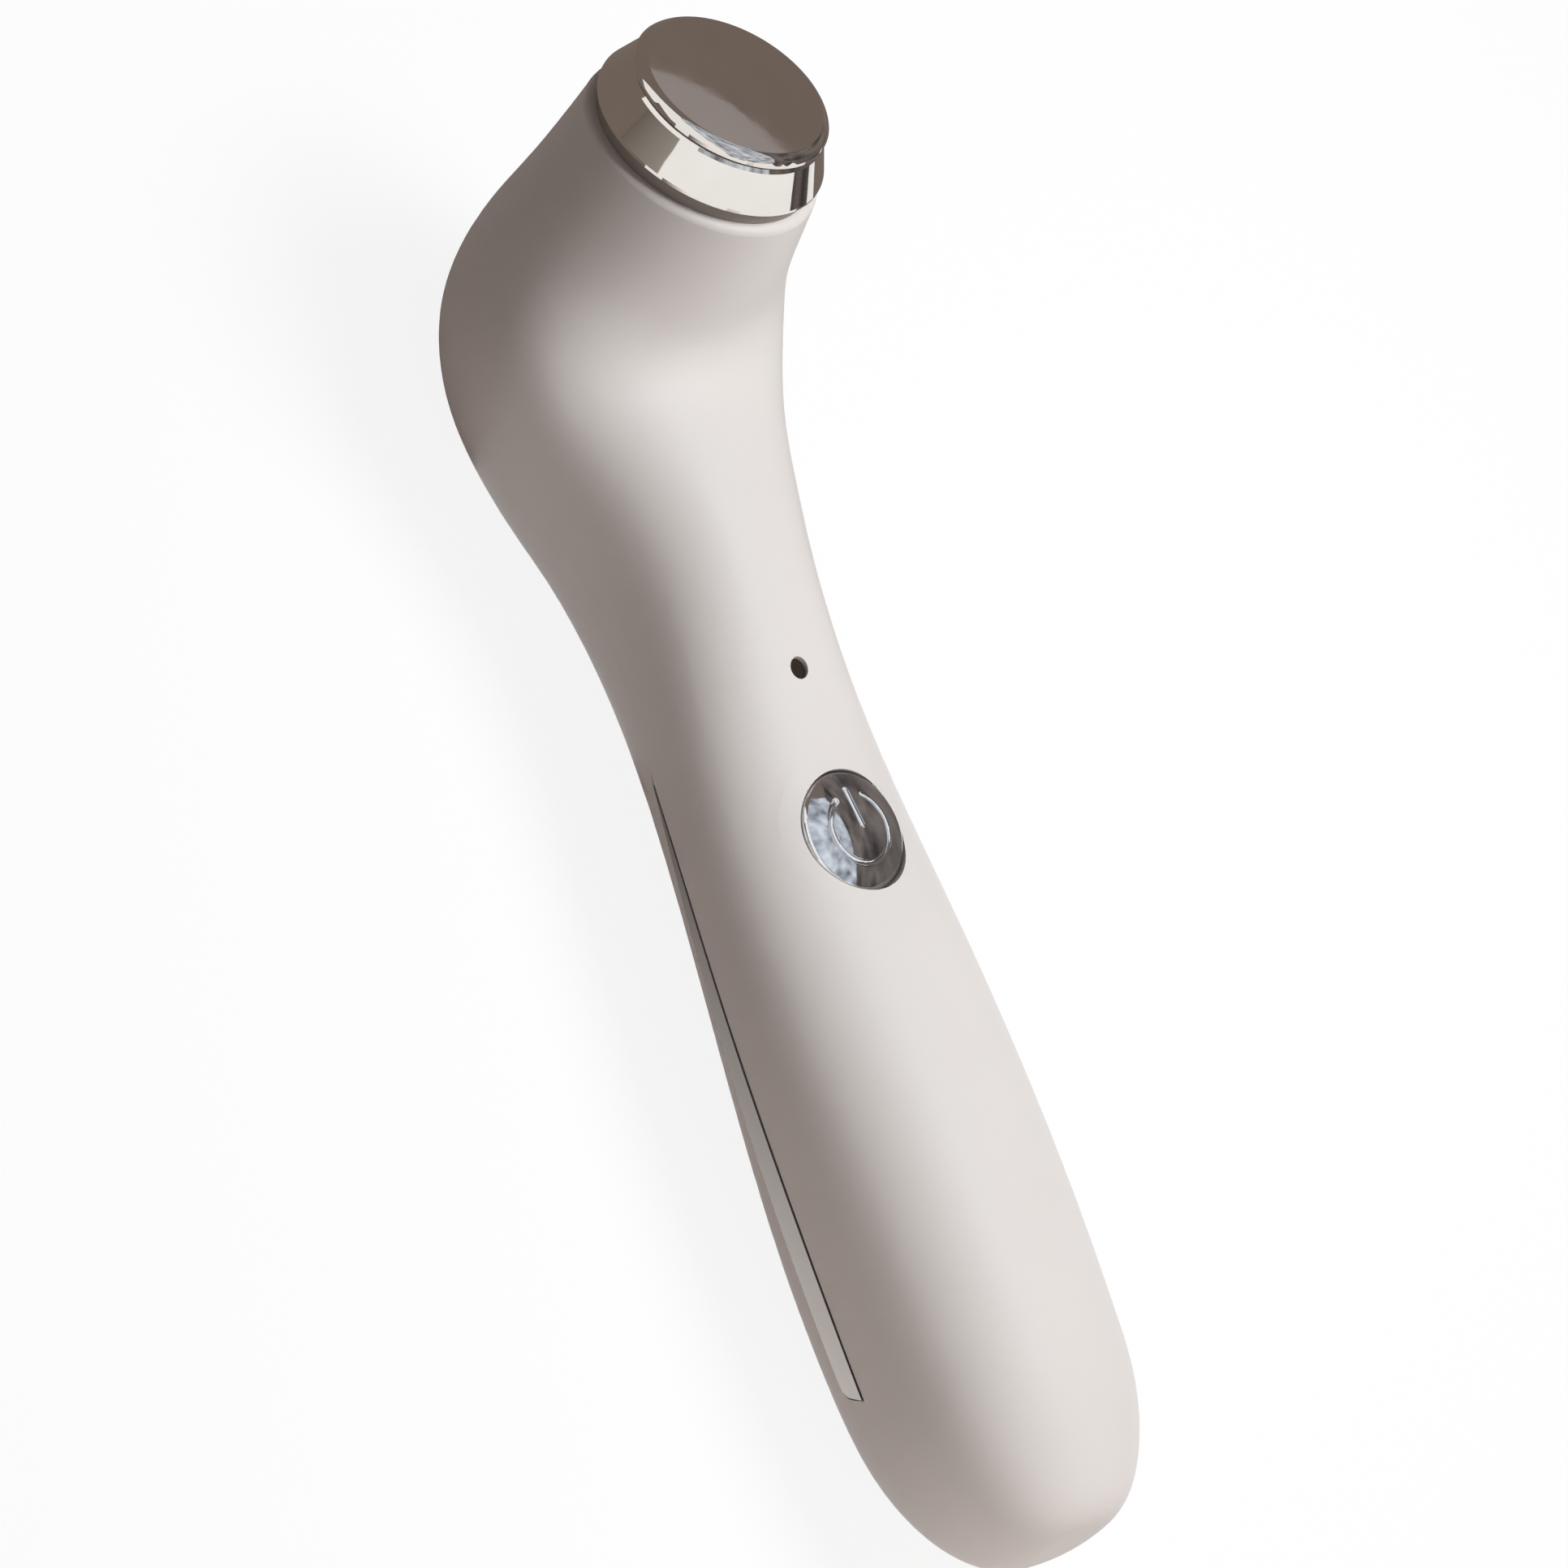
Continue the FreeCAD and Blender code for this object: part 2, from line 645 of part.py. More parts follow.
def rim_bore():
    """Bore of the head rim for the collar's spigot."""
    bore = Part.makeCylinder(SPIGOT_RADIUS + SPIGOT_FIT, 3.0 * RIM_DEPTH, Vector(0, 0, -2.0 * RIM_DEPTH))
    return placed(bore, head_place())


def rounded_rim(solid):
    """The body with the edge of its rim rounded."""
    at_rim = centre(BODY_LENGTH)
    edges = [e for e in solid.Edges if e.isClosed() and e.CenterOfMass.distanceToPoint(at_rim) < RIM_RADIUS]
    return solid.makeFillet(RIM_ROUNDING, edges).Solids[0]


def front_shell(forms):
    """Front half of the body with rim, button pad, bosses and holes."""
    shell = forms.outer.common(forms.front_half).cut(forms.hollow)
    bosses, pilots = frame_bosses()
    shell = shell.fuse(bosses + [button_pad(forms)])
    cuts = pilots + [button_room(), light_hole(), socket_hole(), rim_bore()]
    return shell.cut(cuts + [strip_cut(1), strip_cut(-1)])


def rest_slab():
    """Slab that leaves small flats at the two places on which the body lies."""
    turn = rest_turn()
    low = min(turn.multVec(p).z for p in back_line())
    slab = box(-BIG, BIG, -BIG, BIG, low - BIG, low + REST_FLAT)
    return placed(slab, Placement(Vector(0, 0, 0), turn.inverted()))


def rear_shell(forms):
    """Back half of the body with the lip that locates it in the front half."""
    wall = forms.outer.cut(forms.front_half).cut(forms.rear_hollow)
    lip = forms.lip.common(forms.lip_band).cut(forms.rear_hollow)
    return wall.fuse(lip).cut([strip_cut(1), strip_cut(-1), socket_hole(), rest_slab()])


def head_collar():
    """Tapered ring over the rim with its spigot."""
    profile = [
        (COLLAR_BORE, -RIM_DEPTH - CARRIER_PINCH),
        (SPIGOT_RADIUS, -RIM_DEPTH - CARRIER_PINCH),
        (SPIGOT_RADIUS, COLLAR_GAP),
        (COLLAR_BASE_RADIUS, COLLAR_GAP),
        (COLLAR_BASE_RADIUS, COLLAR_GAP + COLLAR_EDGE),
        (COLLAR_TOP_RADIUS, COLLAR_TOP - COLLAR_EDGE),
        (COLLAR_TOP_RADIUS - COLLAR_EDGE, COLLAR_TOP),
        (COLLAR_BORE, COLLAR_TOP),
    ]
    return placed(turned(profile), head_place())


def rim_seal():
    """Dark ring between the rim and the collar."""
    inner = SPIGOT_RADIUS + SPIGOT_FIT
    profile = [(inner, 0.0), (SEAL_RADIUS, 0.0), (SEAL_RADIUS, COLLAR_GAP), (inner, COLLAR_GAP)]
    return placed(turned(profile), head_place())


def plate_gasket():
    """Soft ring between plate and collar."""
    inner = COLLAR_BORE
    outer = COLLAR_BORE + GASKET_WIDTH
    profile = [(inner, COLLAR_TOP), (outer, COLLAR_TOP), (outer, PLATE_UNDER), (inner, PLATE_UNDER)]
    return placed(turned(profile), head_place())


def head_screw_places():
    """Local places of the screws round the head axis."""
    step = 2.0 * math.pi / HEAD_SCREW_COUNT
    turns = [k * step for k in range(HEAD_SCREW_COUNT)]
    return [Vector(math.cos(t), math.sin(t), 0) * HEAD_SCREW_CIRCLE for t in turns]


def plate_disc():
    """Disc with a flat face and a softly rounded shoulder."""
    under = Vector(PLATE_RADIUS, 0, PLATE_UNDER)
    edge = Vector(PLATE_RADIUS, 0, PLATE_UNDER + PLATE_EDGE)
    face = Vector(PLATE_FACE_RADIUS, 0, PLATE_FACE)
    outward = Vector(face.z - edge.z, 0, edge.x - face.x).normalize()
    middle = (edge + face) * 0.5 + outward * PLATE_BULGE
    top = Vector(0, 0, PLATE_FACE)
    foot = Vector(0, 0, PLATE_UNDER)
    edges = [
        Part.LineSegment(foot, under).toShape(),
        Part.LineSegment(under, edge).toShape(),
        Part.Arc(edge, middle, face).toShape(),
        Part.LineSegment(face, top).toShape(),
        Part.LineSegment(top, foot).toShape(),
    ]
    return Part.Face(Part.Wire(edges)).revolve(Vector(0, 0, 0), Vector(0, 0, 1), 360)


def contact_plate():
    """Disc with a rounded shoulder, a shank in the collar and screw bosses underneath."""
    disc = plate_disc()
    shank_radius = COLLAR_BORE - SHANK_FIT
    low = PLATE_UNDER - SHANK_LENGTH
    shank = Part.makeCylinder(shank_radius, SHANK_LENGTH, Vector(0, 0, low))
    shank = shank.cut(Part.makeCylinder(shank_radius - SHANK_WALL, SHANK_LENGTH, Vector(0, 0, low)))
    plate = disc.fuse(shank)
    for place in head_screw_places():
        boss = Part.makeCylinder(HEAD_BOSS_RADIUS, SHANK_LENGTH, place + Vector(0, 0, low))
        depth = SCREW_GRIP + SCREW_FIT
        pilot = Part.makeCylinder(SCREW_RADIUS + SCREW_FIT, depth, place + Vector(0, 0, low))
        plate = plate.fuse(boss).cut(pilot)
    return placed(plate, head_place())


def carrier_levels():
    """Heights of the carrier: roof top, roof underside, flange top and flange underside."""
    roof = PLATE_UNDER - SHANK_LENGTH - CARRIER_CLEAR
    flange_top = -RIM_DEPTH - CARRIER_PINCH
    return roof, roof - CARRIER_ROOF, flange_top, flange_top - CARRIER_FLANGE_THICK


def plate_carrier():
    """Cup that clamps plate and collar to the rim from inside."""
    roof, under, flange_top, flange_low = carrier_levels()
    hub = COLLAR_BORE - SHANK_FIT
    profile = [
        (LEAD_PORT_RADIUS, roof),
        (hub, roof),
        (hub, flange_top),
        (CARRIER_FLANGE_RADIUS, flange_top),
        (CARRIER_FLANGE_RADIUS, flange_low),
        (hub - CARRIER_WALL, flange_low),
        (hub - CARRIER_WALL, under),
        (LEAD_PORT_RADIUS, under),
    ]
    cup = turned(profile)
    for place in head_screw_places():
        cup = cup.cut(Part.makeCylinder(SCREW_RADIUS + SCREW_FIT, CARRIER_ROOF, place + Vector(0, 0, under)))
    return placed(cup, head_place())


def carrier_screws():
    """Screws through the carrier's roof into the plate's bosses."""
    under = carrier_levels()[1]
    length = CARRIER_ROOF + CARRIER_CLEAR + SCREW_GRIP
    up = Vector(0, 0, 1)
    screws = [screw(p + Vector(0, 0, under), up, length) for p in head_screw_places()]
    return placed(Part.Compound(screws), head_place())


def heater_film():
    """Thin heater on the underside of the plate."""
    film = Part.makeCylinder(HEATER_RADIUS, HEATER_THICK, Vector(0, 0, PLATE_UNDER - HEATER_THICK))
    return placed(film, head_place())


def thermistor():
    """Temperature sensor on the heater, beside the leads."""
    top = PLATE_UNDER - HEATER_THICK
    x0 = LEAD_RADIUS + THERMISTOR_HEIGHT / 2.0
    half = THERMISTOR_LENGTH / 2.0
    bead = box(x0, x0 + THERMISTOR_WIDTH, -half, half, top - THERMISTOR_HEIGHT, top)
    return placed(bead, head_place())


def button_cap():
    """Domed cap with a retaining flange, a stem and a sunk power symbol."""
    edge, crown, _, flange_top, foot = button_levels()
    flange = BUTTON_RADIUS + FLANGE_OVERHANG
    skirt = Part.makeCylinder(BUTTON_RADIUS, crown - flange_top, Vector(0, 0, flange_top))
    ball = (BUTTON_RADIUS ** 2 + BUTTON_DOME ** 2) / (2.0 * BUTTON_DOME)
    cap = skirt.common(Part.makeSphere(ball, Vector(0, 0, crown - ball)))
    rim = [e for e in cap.Edges if abs(e.BoundBox.ZMin - edge) < BUTTON_DOME / 9.0 and len(e.Vertexes) == 1]
    cap = cap.makeFillet(BUTTON_ROUNDING, rim)
    cap = cap.cut(symbol(crown, ball))
    skirt_ring = post(flange, 0, 0, flange_top - FLANGE_THICK, flange_top)
    cap = cap.fuse([skirt_ring, post(STEM_RADIUS, 0, 0, foot, flange_top)])
    return placed(cap.removeSplitter(), Placement(Vector(BUTTON_AT, 0, 0), Rotation()))


def symbol(crown, ball):
    """Broken ring and bar of the power symbol, sunk into the dome and open towards the head."""
    level = crown - ball + math.sqrt(ball ** 2 - SYMBOL_RADIUS ** 2)
    turn = 360.0 - SYMBOL_OPENING
    ring = Part.makeTorus(SYMBOL_RADIUS, SYMBOL_LINE, Vector(0, 0, level), Vector(0, 0, 1), 0, 360, turn)
    ring.rotate(Vector(0, 0, 0), Vector(0, 0, 1), SYMBOL_OPENING / 2.0)
    near = Vector(SYMBOL_RADIUS + SYMBOL_LINE - SYMBOL_BAR, 0, 0)
    near.z = crown - ball + math.sqrt(ball ** 2 - near.x ** 2)
    far = Vector(SYMBOL_RADIUS + SYMBOL_LINE, 0, 0)
    far.z = crown - ball + math.sqrt(ball ** 2 - far.x ** 2)
    bar = Part.makeCylinder(SYMBOL_LINE, SYMBOL_BAR, near, far - near)
    ends = [Part.makeSphere(SYMBOL_LINE, near), Part.makeSphere(SYMBOL_LINE, far)]
    for side in (1, -1):
        turn = math.radians(side * SYMBOL_OPENING / 2.0)
        place = Vector(SYMBOL_RADIUS * math.cos(turn), SYMBOL_RADIUS * math.sin(turn), level)
        ends.append(Part.makeSphere(SYMBOL_LINE, place))
    return ring.fuse([bar] + ends)


def switch_body():
    """Push switch on the board with the bore of its plunger."""
    half = SWITCH_SIDE / 2.0
    top = BOARD_TOP + SWITCH_HEIGHT
    block = box(BUTTON_AT - half, BUTTON_AT + half, -half, half, BOARD_TOP, top)
    bore_low = top - PLUNGER_SEAT - 2.0 * BUTTON_TRAVEL
    return block.cut(post(PLUNGER_RADIUS + PLUNGER_FIT, BUTTON_AT, 0, bore_low, BIG))


def switch_plunger():
    """Plunger between the button's stem and the switch."""
    top = BOARD_TOP + SWITCH_HEIGHT
    return post(PLUNGER_RADIUS, BUTTON_AT, 0, top - PLUNGER_SEAT, top + PLUNGER_PROUD)


def light_pipe():
    """Smoked window that carries the light from the board to the hole."""
    skin = front_height(LED_AT, 0.0)
    radius = LIGHT_HOLE_RADIUS - LIGHT_FIT
    low = BOARD_TOP + LED_HEIGHT + LED_AIR
    seat = front_height(LED_AT, -WALL) - LIGHT_FIT
    pipe = post(radius, LED_AT, 0, low, skin - LIGHT_RECESS)
    flange_top = seat - LIGHT_FLANGE / 4.0
    flange_low = flange_top - LIGHT_FLANGE_THICK
    flange = post(LIGHT_HOLE_RADIUS + LIGHT_FLANGE, LED_AT, 0, flange_low, flange_top)
    return pipe.fuse(flange).removeSplitter()


def status_led():
    """Light source on the board."""
    half_length = LED_LENGTH / 2.0
    half_width = LED_WIDTH / 2.0
    top = BOARD_TOP + LED_HEIGHT
    return box(LED_AT - half_length, LED_AT + half_length, -half_width, half_width, BOARD_TOP, top)


def main_board():
    """Control board on the frame's deck."""
    board = box(BOARD_START, BOARD_END, -BOARD_HALF_WIDTH, BOARD_HALF_WIDTH, BOARD_BOTTOM, BOARD_TOP)
    return board.cut([post(SCREW_RADIUS + SCREW_FIT, x, y, 0, BIG) for x, y in board_screw_places()])


def board_screw_places():
    """Places of the two board screws, across the board's corners."""
    inset = SCREW_HEAD_RADIUS + SCREW_RADIUS
    return [(BOARD_START + inset, BOARD_HALF_WIDTH - inset), (BOARD_END - inset, inset - BOARD_HALF_WIDTH)]


def board_screws():
    """Screws from the board into the frame's deck."""
    down = Vector(0, 0, -1)
    length = BOARD_THICK + DECK_THICK
    return Part.Compound([screw(Vector(x, y, BOARD_TOP), down, length) for x, y in board_screw_places()])


def control_chip():
    """Controller between the switch and the light."""
    x = (BUTTON_AT + LED_AT) / 2.0
    half = CHIP_SIDE / 2.0
    return box(x - half, x + half, -half, half, BOARD_TOP, BOARD_TOP + CHIP_HEIGHT)


def board_parts():
    """Row of capacitors along the board's edge."""
    y = BOARD_HALF_WIDTH - 2.0 * CAPACITOR_WIDTH
    top = BOARD_TOP + CAPACITOR_HEIGHT
    start = BUTTON_AT + SWITCH_SIDE / 2.0 + CAPACITOR_LENGTH
    parts = []
    for k in range(CAPACITOR_COUNT):
        x = start + k * CAPACITOR_PITCH
        parts.append(box(x, x + CAPACITOR_LENGTH, y, y + CAPACITOR_WIDTH, BOARD_TOP, top))
    return Part.Compound(parts)


def battery_cell():
    """Round cell along the handle."""
    return rod(CELL_RADIUS, CELL_START, CELL_END, 0.0)


def battery_pad():
    """Foam between the cell and the rear shell."""
    start = CELL_START + PAD_START
    room = inside(LIP_FIT + LIP + PAD_CLEAR)
    block = box(start, start + PAD_LENGTH, -PAD_HALF_WIDTH, PAD_HALF_WIDTH, -BIG, 0).common(room)
    return block.cut(rod(CELL_RADIUS + PAD_CLEAR, 0, BIG, 0.0))


def inner_frame():
    """Moulded frame: trough over the cell, deck, shelf for the socket, tongue for the motor."""
    bore = CELL_RADIUS + CELL_PLAY
    outer = bore + FRAME_WALL
    x0 = CELL_START - CELL_PLAY - FRAME_WALL
    x1 = CELL_END + CELL_PLAY + FRAME_WALL
    upper = box(-BIG, BIG, -BIG, BIG, 0, BIG)
    trough = rod(outer, x0, x1, 0.0).common(upper)
    skirts = [box(x, x + FRAME_WALL, -outer, outer, -FRAME_SKIRT, 0) for x in (x0, x1 - FRAME_WALL)]
    low = BOARD_BOTTOM - DECK_THICK
    ear_y = EAR_OUT + EAR_HALF
    ears = box(EAR_AT - EAR_HALF, EAR_AT + EAR_HALF, -ear_y, ear_y, low, BOARD_BOTTOM)
    deck = box(x1 - FRAME_WALL, DECK_END, -BOARD_HALF_WIDTH, BOARD_HALF_WIDTH, low, BOARD_BOTTOM)
    tongue = box(DECK_END, MOTOR_END, -TONGUE_HALF_WIDTH, TONGUE_HALF_WIDTH, low, BOARD_BOTTOM)
    frame = trough.fuse(skirts + [ears, deck, tongue, charge_shelf(x0)])
    cuts = [rod(bore, x0 + FRAME_WALL, x1 - FRAME_WALL, 0.0), lead_slot(), cell_notch(x1)]
    screws = frame_screw_places() + board_screw_places() + holder_screw_places()
    cuts += [post(SCREW_RADIUS + SCREW_FIT, x, y, -BIG, BIG) for x, y in screws]
    return frame.cut(cuts).cut(placed(Part.Compound(charge_pilots()), socket_place())).removeSplitter()


def lead_slot():
    """Slot in the frame's tongue for the motor leads."""
    half = MOTOR_LEAD_OUT + 3.0 * LEAD_RADIUS
    x1 = MOTOR_START - MOTOR_AFTER_DECK / 5.0
    return box(DECK_END + MOTOR_AFTER_DECK / 8.0, x1, -half, half, -CELL_RADIUS, CELL_RADIUS)


def cell_notch(x1):
    """Notch in the trough's end wall for the cell leads."""
    half = CELL_LEAD_OUT + 3.0 * LEAD_RADIUS
    z = BOARD_TOP + LEAD_RISE
    return box(x1 - FRAME_WALL, x1, -half, half, z - 2.0 * LEAD_RADIUS, z + 2.0 * LEAD_RADIUS)


def shelf_top():
    """Local height of the shelf under the charging board."""
    return -SOCKET_HEIGHT / 2.0 - CHARGE_BOARD_THICK


def charge_shelf(x1):
    """Shelf of the frame under the charging board."""
    top = shelf_top()
    start = CHARGE_BOARD_START + CHARGE_BOARD_LENGTH / 5.0
    half = CHARGE_BOARD_HALF_WIDTH
    shelf = placed(box(start, 2.0 * x1, -half, half, top - SHELF_THICK, top), socket_place())
    return shelf.common(box(-BIG, x1 + FRAME_WALL, -BIG, BIG, -BIG, BIG))


def charge_screw_places():
    """Local places of the charging board's screws."""
    x = CHARGE_BOARD_START + CHARGE_BOARD_LENGTH - CHARGE_SCREW_BACK
    return [Vector(x, side * CHARGE_SCREW_OUT, -SOCKET_HEIGHT / 2.0) for side in (1, -1)]


def charge_pilots():
    """Holes for the charging board's screws."""
    depth = CHARGE_BOARD_THICK + SHELF_THICK
    radius = SCREW_RADIUS + SCREW_FIT
    return [Part.makeCylinder(radius, depth, p, Vector(0, 0, -1)) for p in charge_screw_places()]


def charge_board():
    """Small board that carries the charging socket."""
    x0 = CHARGE_BOARD_START
    half = CHARGE_BOARD_HALF_WIDTH
    board = box(x0, x0 + CHARGE_BOARD_LENGTH, -half, half, shelf_top(), -SOCKET_HEIGHT / 2.0)
    return placed(board.cut(charge_pilots()), socket_place())


def charge_board_screws():
    """Screws of the charging board."""
    length = CHARGE_BOARD_THICK + SHELF_THICK
    screws = [screw(p, Vector(0, 0, -1), length) for p in charge_screw_places()]
    return placed(Part.Compound(screws), socket_place())


def charge_socket_shell():
    """Flattened metal tube of the charging socket."""
    x0 = SOCKET_RECESS
    x1 = SOCKET_RECESS + SOCKET_LENGTH
    tube = slot_bar(SOCKET_WIDTH, SOCKET_HEIGHT, x0, x1)
    size = 2.0 * SOCKET_WALL
    return placed(tube.cut(slot_bar(SOCKET_WIDTH - size, SOCKET_HEIGHT - size, x0, x1)), socket_place())


def charge_socket_core():
    """Insulator at the back of the socket with its contact tongue."""
    x1 = SOCKET_RECESS + SOCKET_LENGTH
    size = 2.0 * SOCKET_WALL
    base = slot_bar(SOCKET_WIDTH - size, SOCKET_HEIGHT - size, x1 - CORE_BASE, x1)
    half = CORE_WIDTH / 2.0
    rise = CORE_HEIGHT / 2.0
    tongue = box(SOCKET_RECESS + CORE_SET_BACK, x1 - CORE_BASE, -half, half, -rise, rise)
    return placed(base.fuse(tongue).removeSplitter(), socket_place())


def motor_can():
    """Motor housing with the bearing bore of its shaft."""
    start = MOTOR_START + MOTOR_CAP_LENGTH
    can = rod(MOTOR_RADIUS, start, MOTOR_END, MOTOR_Z)
    return can.cut(rod(SHAFT_RADIUS + SHAFT_FIT, MOTOR_END - SHAFT_INSIDE - SHAFT_FIT, BIG, MOTOR_Z))


def motor_end_cap():
    """Plastic end cap of the motor, where the leads leave."""
    return rod(MOTOR_RADIUS, MOTOR_START, MOTOR_START + MOTOR_CAP_LENGTH, MOTOR_Z)


def weight_start():
    """Where the eccentric weight begins along the shaft."""
    return MOTOR_END + WEIGHT_AIR


def motor_shaft():
    """Shaft from inside the motor to the end of the weight."""
    return rod(SHAFT_RADIUS, MOTOR_END - SHAFT_INSIDE, weight_start() + WEIGHT_LENGTH, MOTOR_Z)


def eccentric_weight():
    """Half disc on the shaft, heavy side down."""
    x0 = weight_start()
    x1 = x0 + WEIGHT_LENGTH
    lower = box(x0, x1, -BIG, BIG, MOTOR_Z - BIG, MOTOR_Z)
    weight = rod(WEIGHT_RADIUS, x0, x1, MOTOR_Z).common(lower).fuse(rod(WEIGHT_HUB, x0, x1, MOTOR_Z))
    return weight.removeSplitter().cut(rod(SHAFT_RADIUS, x0, x1, MOTOR_Z))


def motor_holder():
    """Block under the frame's tongue that holds the motor."""
    x0 = MOTOR_START + MOTOR_CAP_LENGTH
    top = BOARD_BOTTOM - DECK_THICK
    block = box(x0, MOTOR_END, -HOLDER_SIDE, HOLDER_SIDE, MOTOR_Z - MOTOR_RADIUS - HOLDER_UNDER, top)
    cuts = [rod(MOTOR_RADIUS + HOLDER_FIT, x0, MOTOR_END, MOTOR_Z)]
    low = top - SCREW_GRIP - SCREW_FIT
    cuts += [post(SCREW_RADIUS + SCREW_FIT, x, y, low, BIG) for x, y in holder_screw_places()]
    return block.cut(cuts)


def holder_screw_places():
    """Places of the motor holder's screws, outside the motor's bore."""
    x = MOTOR_START + MOTOR_CAP_LENGTH + MOTOR_LENGTH / 2.0
    y = HOLDER_SIDE - SCREW_HEAD_RADIUS + SCREW_RADIUS / 4.0
    return [(x, y), (x, -y)]


def holder_screws():
    """Screws from the tongue into the motor holder."""
    down = Vector(0, 0, -1)
    length = DECK_THICK + SCREW_GRIP
    return Part.Compound([screw(Vector(x, y, BOARD_BOTTOM), down, length) for x, y in holder_screw_places()])


def frame_screws():
    """Screws from the frame up into the front shell's bosses."""
    seat = BOARD_BOTTOM - DECK_THICK
    up = Vector(0, 0, 1)
    length = DECK_THICK + SCREW_GRIP
    return Part.Compound([screw(Vector(x, y, seat), up, length) for x, y in frame_screw_places()])


def heater_lead(side):
    """Lead from the heater through the carrier and the neck to the board."""
    y = side * HEATER_LEAD_OUT
    head = head_place()
    level = BOARD_TOP + 2.0 * LEAD_RISE
    end = BOARD_END - 2.0 * LEAD_RADIUS
    points = [
        head.multVec(Vector(0, y, PLATE_UNDER - HEATER_THICK)),
        head.multVec(Vector(0, y, -HEATER_LEAD_DROP)),
        Vector(NECK_START + NECK_BEND_LENGTH / 3.0, y, level),
        Vector(end, y, level),
        Vector(end, y, BOARD_TOP),
    ]
    return lead(points)


def motor_lead(side):
    """Lead from the motor's end cap through the tongue to the board."""
    y = side * MOTOR_LEAD_OUT
    x = DECK_END + MOTOR_AFTER_DECK / 2.0
    level = BOARD_TOP + LEAD_RISE
    end = BOARD_END - 4.0 * LEAD_RADIUS
    points = [
        Vector(MOTOR_START, y, MOTOR_Z),
        Vector(x, y, MOTOR_Z),
        Vector(x, y, level),
        Vector(end, y, level),
        Vector(end, y, BOARD_TOP),
    ]
    return lead(points)


def cell_lead(side):
    """Short lead from the cell's end to the board."""
    y = side * CELL_LEAD_OUT
    level = BOARD_TOP + LEAD_RISE
    end = BOARD_START + BOARD_AFTER_CELL + 2.0 * LEAD_RADIUS
    return lead([Vector(CELL_END, y, level), Vector(end, y, level), Vector(end, y, BOARD_TOP)])


def charge_lead(side):
    """Lead from the charging board over the trough to the main board."""
    y = side * CHARGE_LEAD_OUT
    mouth = socket_place()
    start_x = CHARGE_BOARD_START + CHARGE_BOARD_LENGTH - CHARGE_SCREW_BACK
    start_x = start_x - SCREW_HEAD_RADIUS - 2.0 * LEAD_RADIUS
    start = mouth.multVec(Vector(start_x, y, -SOCKET_HEIGHT / 2.0))
    up = mouth.Rotation.multVec(Vector(0, 0, 1))
    level = CELL_RADIUS + CELL_PLAY + FRAME_WALL + 1.5 * LEAD_RADIUS
    rise = start + up * ((level - start.z) / up.z)
    end = BOARD_START + BOARD_AFTER_CELL + 2.0 * LEAD_RADIUS
    return lead([start, rise, Vector(end, y, level), Vector(end, y, BOARD_TOP)])


def strip_lead(side):
    """Lead from a strip's tongue to the board."""
    x = STRIP_LEAD_AT
    parting = parting_place().multVec(Vector(x, 0, 0)).z
    out = strip_tongue_inner(x, parting) + 2.0 * LEAD_RADIUS
    level = BOARD_TOP + LEAD_RISE
    land = BOARD_HALF_WIDTH - 3.0 * LEAD_RADIUS
    points = [
        Vector(x, side * out, parting + TONGUE_THICK / 2.0 + TONGUE_GAP),
        Vector(x, side * out, level),
        Vector(x, side * land, level),
        Vector(x, side * land, BOARD_TOP),
    ]
    return lead(points)


def strip_tongue_inner(x, z):
    """Half width of a tongue's inner edge at a place along the handle."""
    sizes = half_sizes(x, -WALL - LIP_FIT - LIP - TONGUE_REACH)
    share = (abs(z) / sizes.z) ** HANDLE_POWER
    return sizes.x * (1.0 - share) ** (1.0 / HANDLE_POWER)


def back_line():
    """Points along the middle of the back."""
    steps = [BODY_LENGTH * k / REST_SAMPLES for k in range(REST_SAMPLES + 1)]
    return [section_point(d, 0.0, -math.pi / 2.0) for d in steps]


def rest_turn():
    """Turn that lays the body on the two lowest places of its back."""
    samples = back_line()
    half = centre(NECK_START).x / 2.0
    pitch = 0.0
    for _ in range(REST_ROUNDS):
        turn = Rotation(Vector(0, 1, 0), math.degrees(pitch))
        points = [turn.multVec(p) for p in samples]
        handle = min((p for p in points if p.x < half), key=lambda p: p.z)
        head = min((p for p in points if p.x >= half), key=lambda p: p.z)
        pitch += math.atan2(head.z - handle.z, head.x - handle.x)
    return Rotation(Vector(0, 1, 0), math.degrees(pitch))


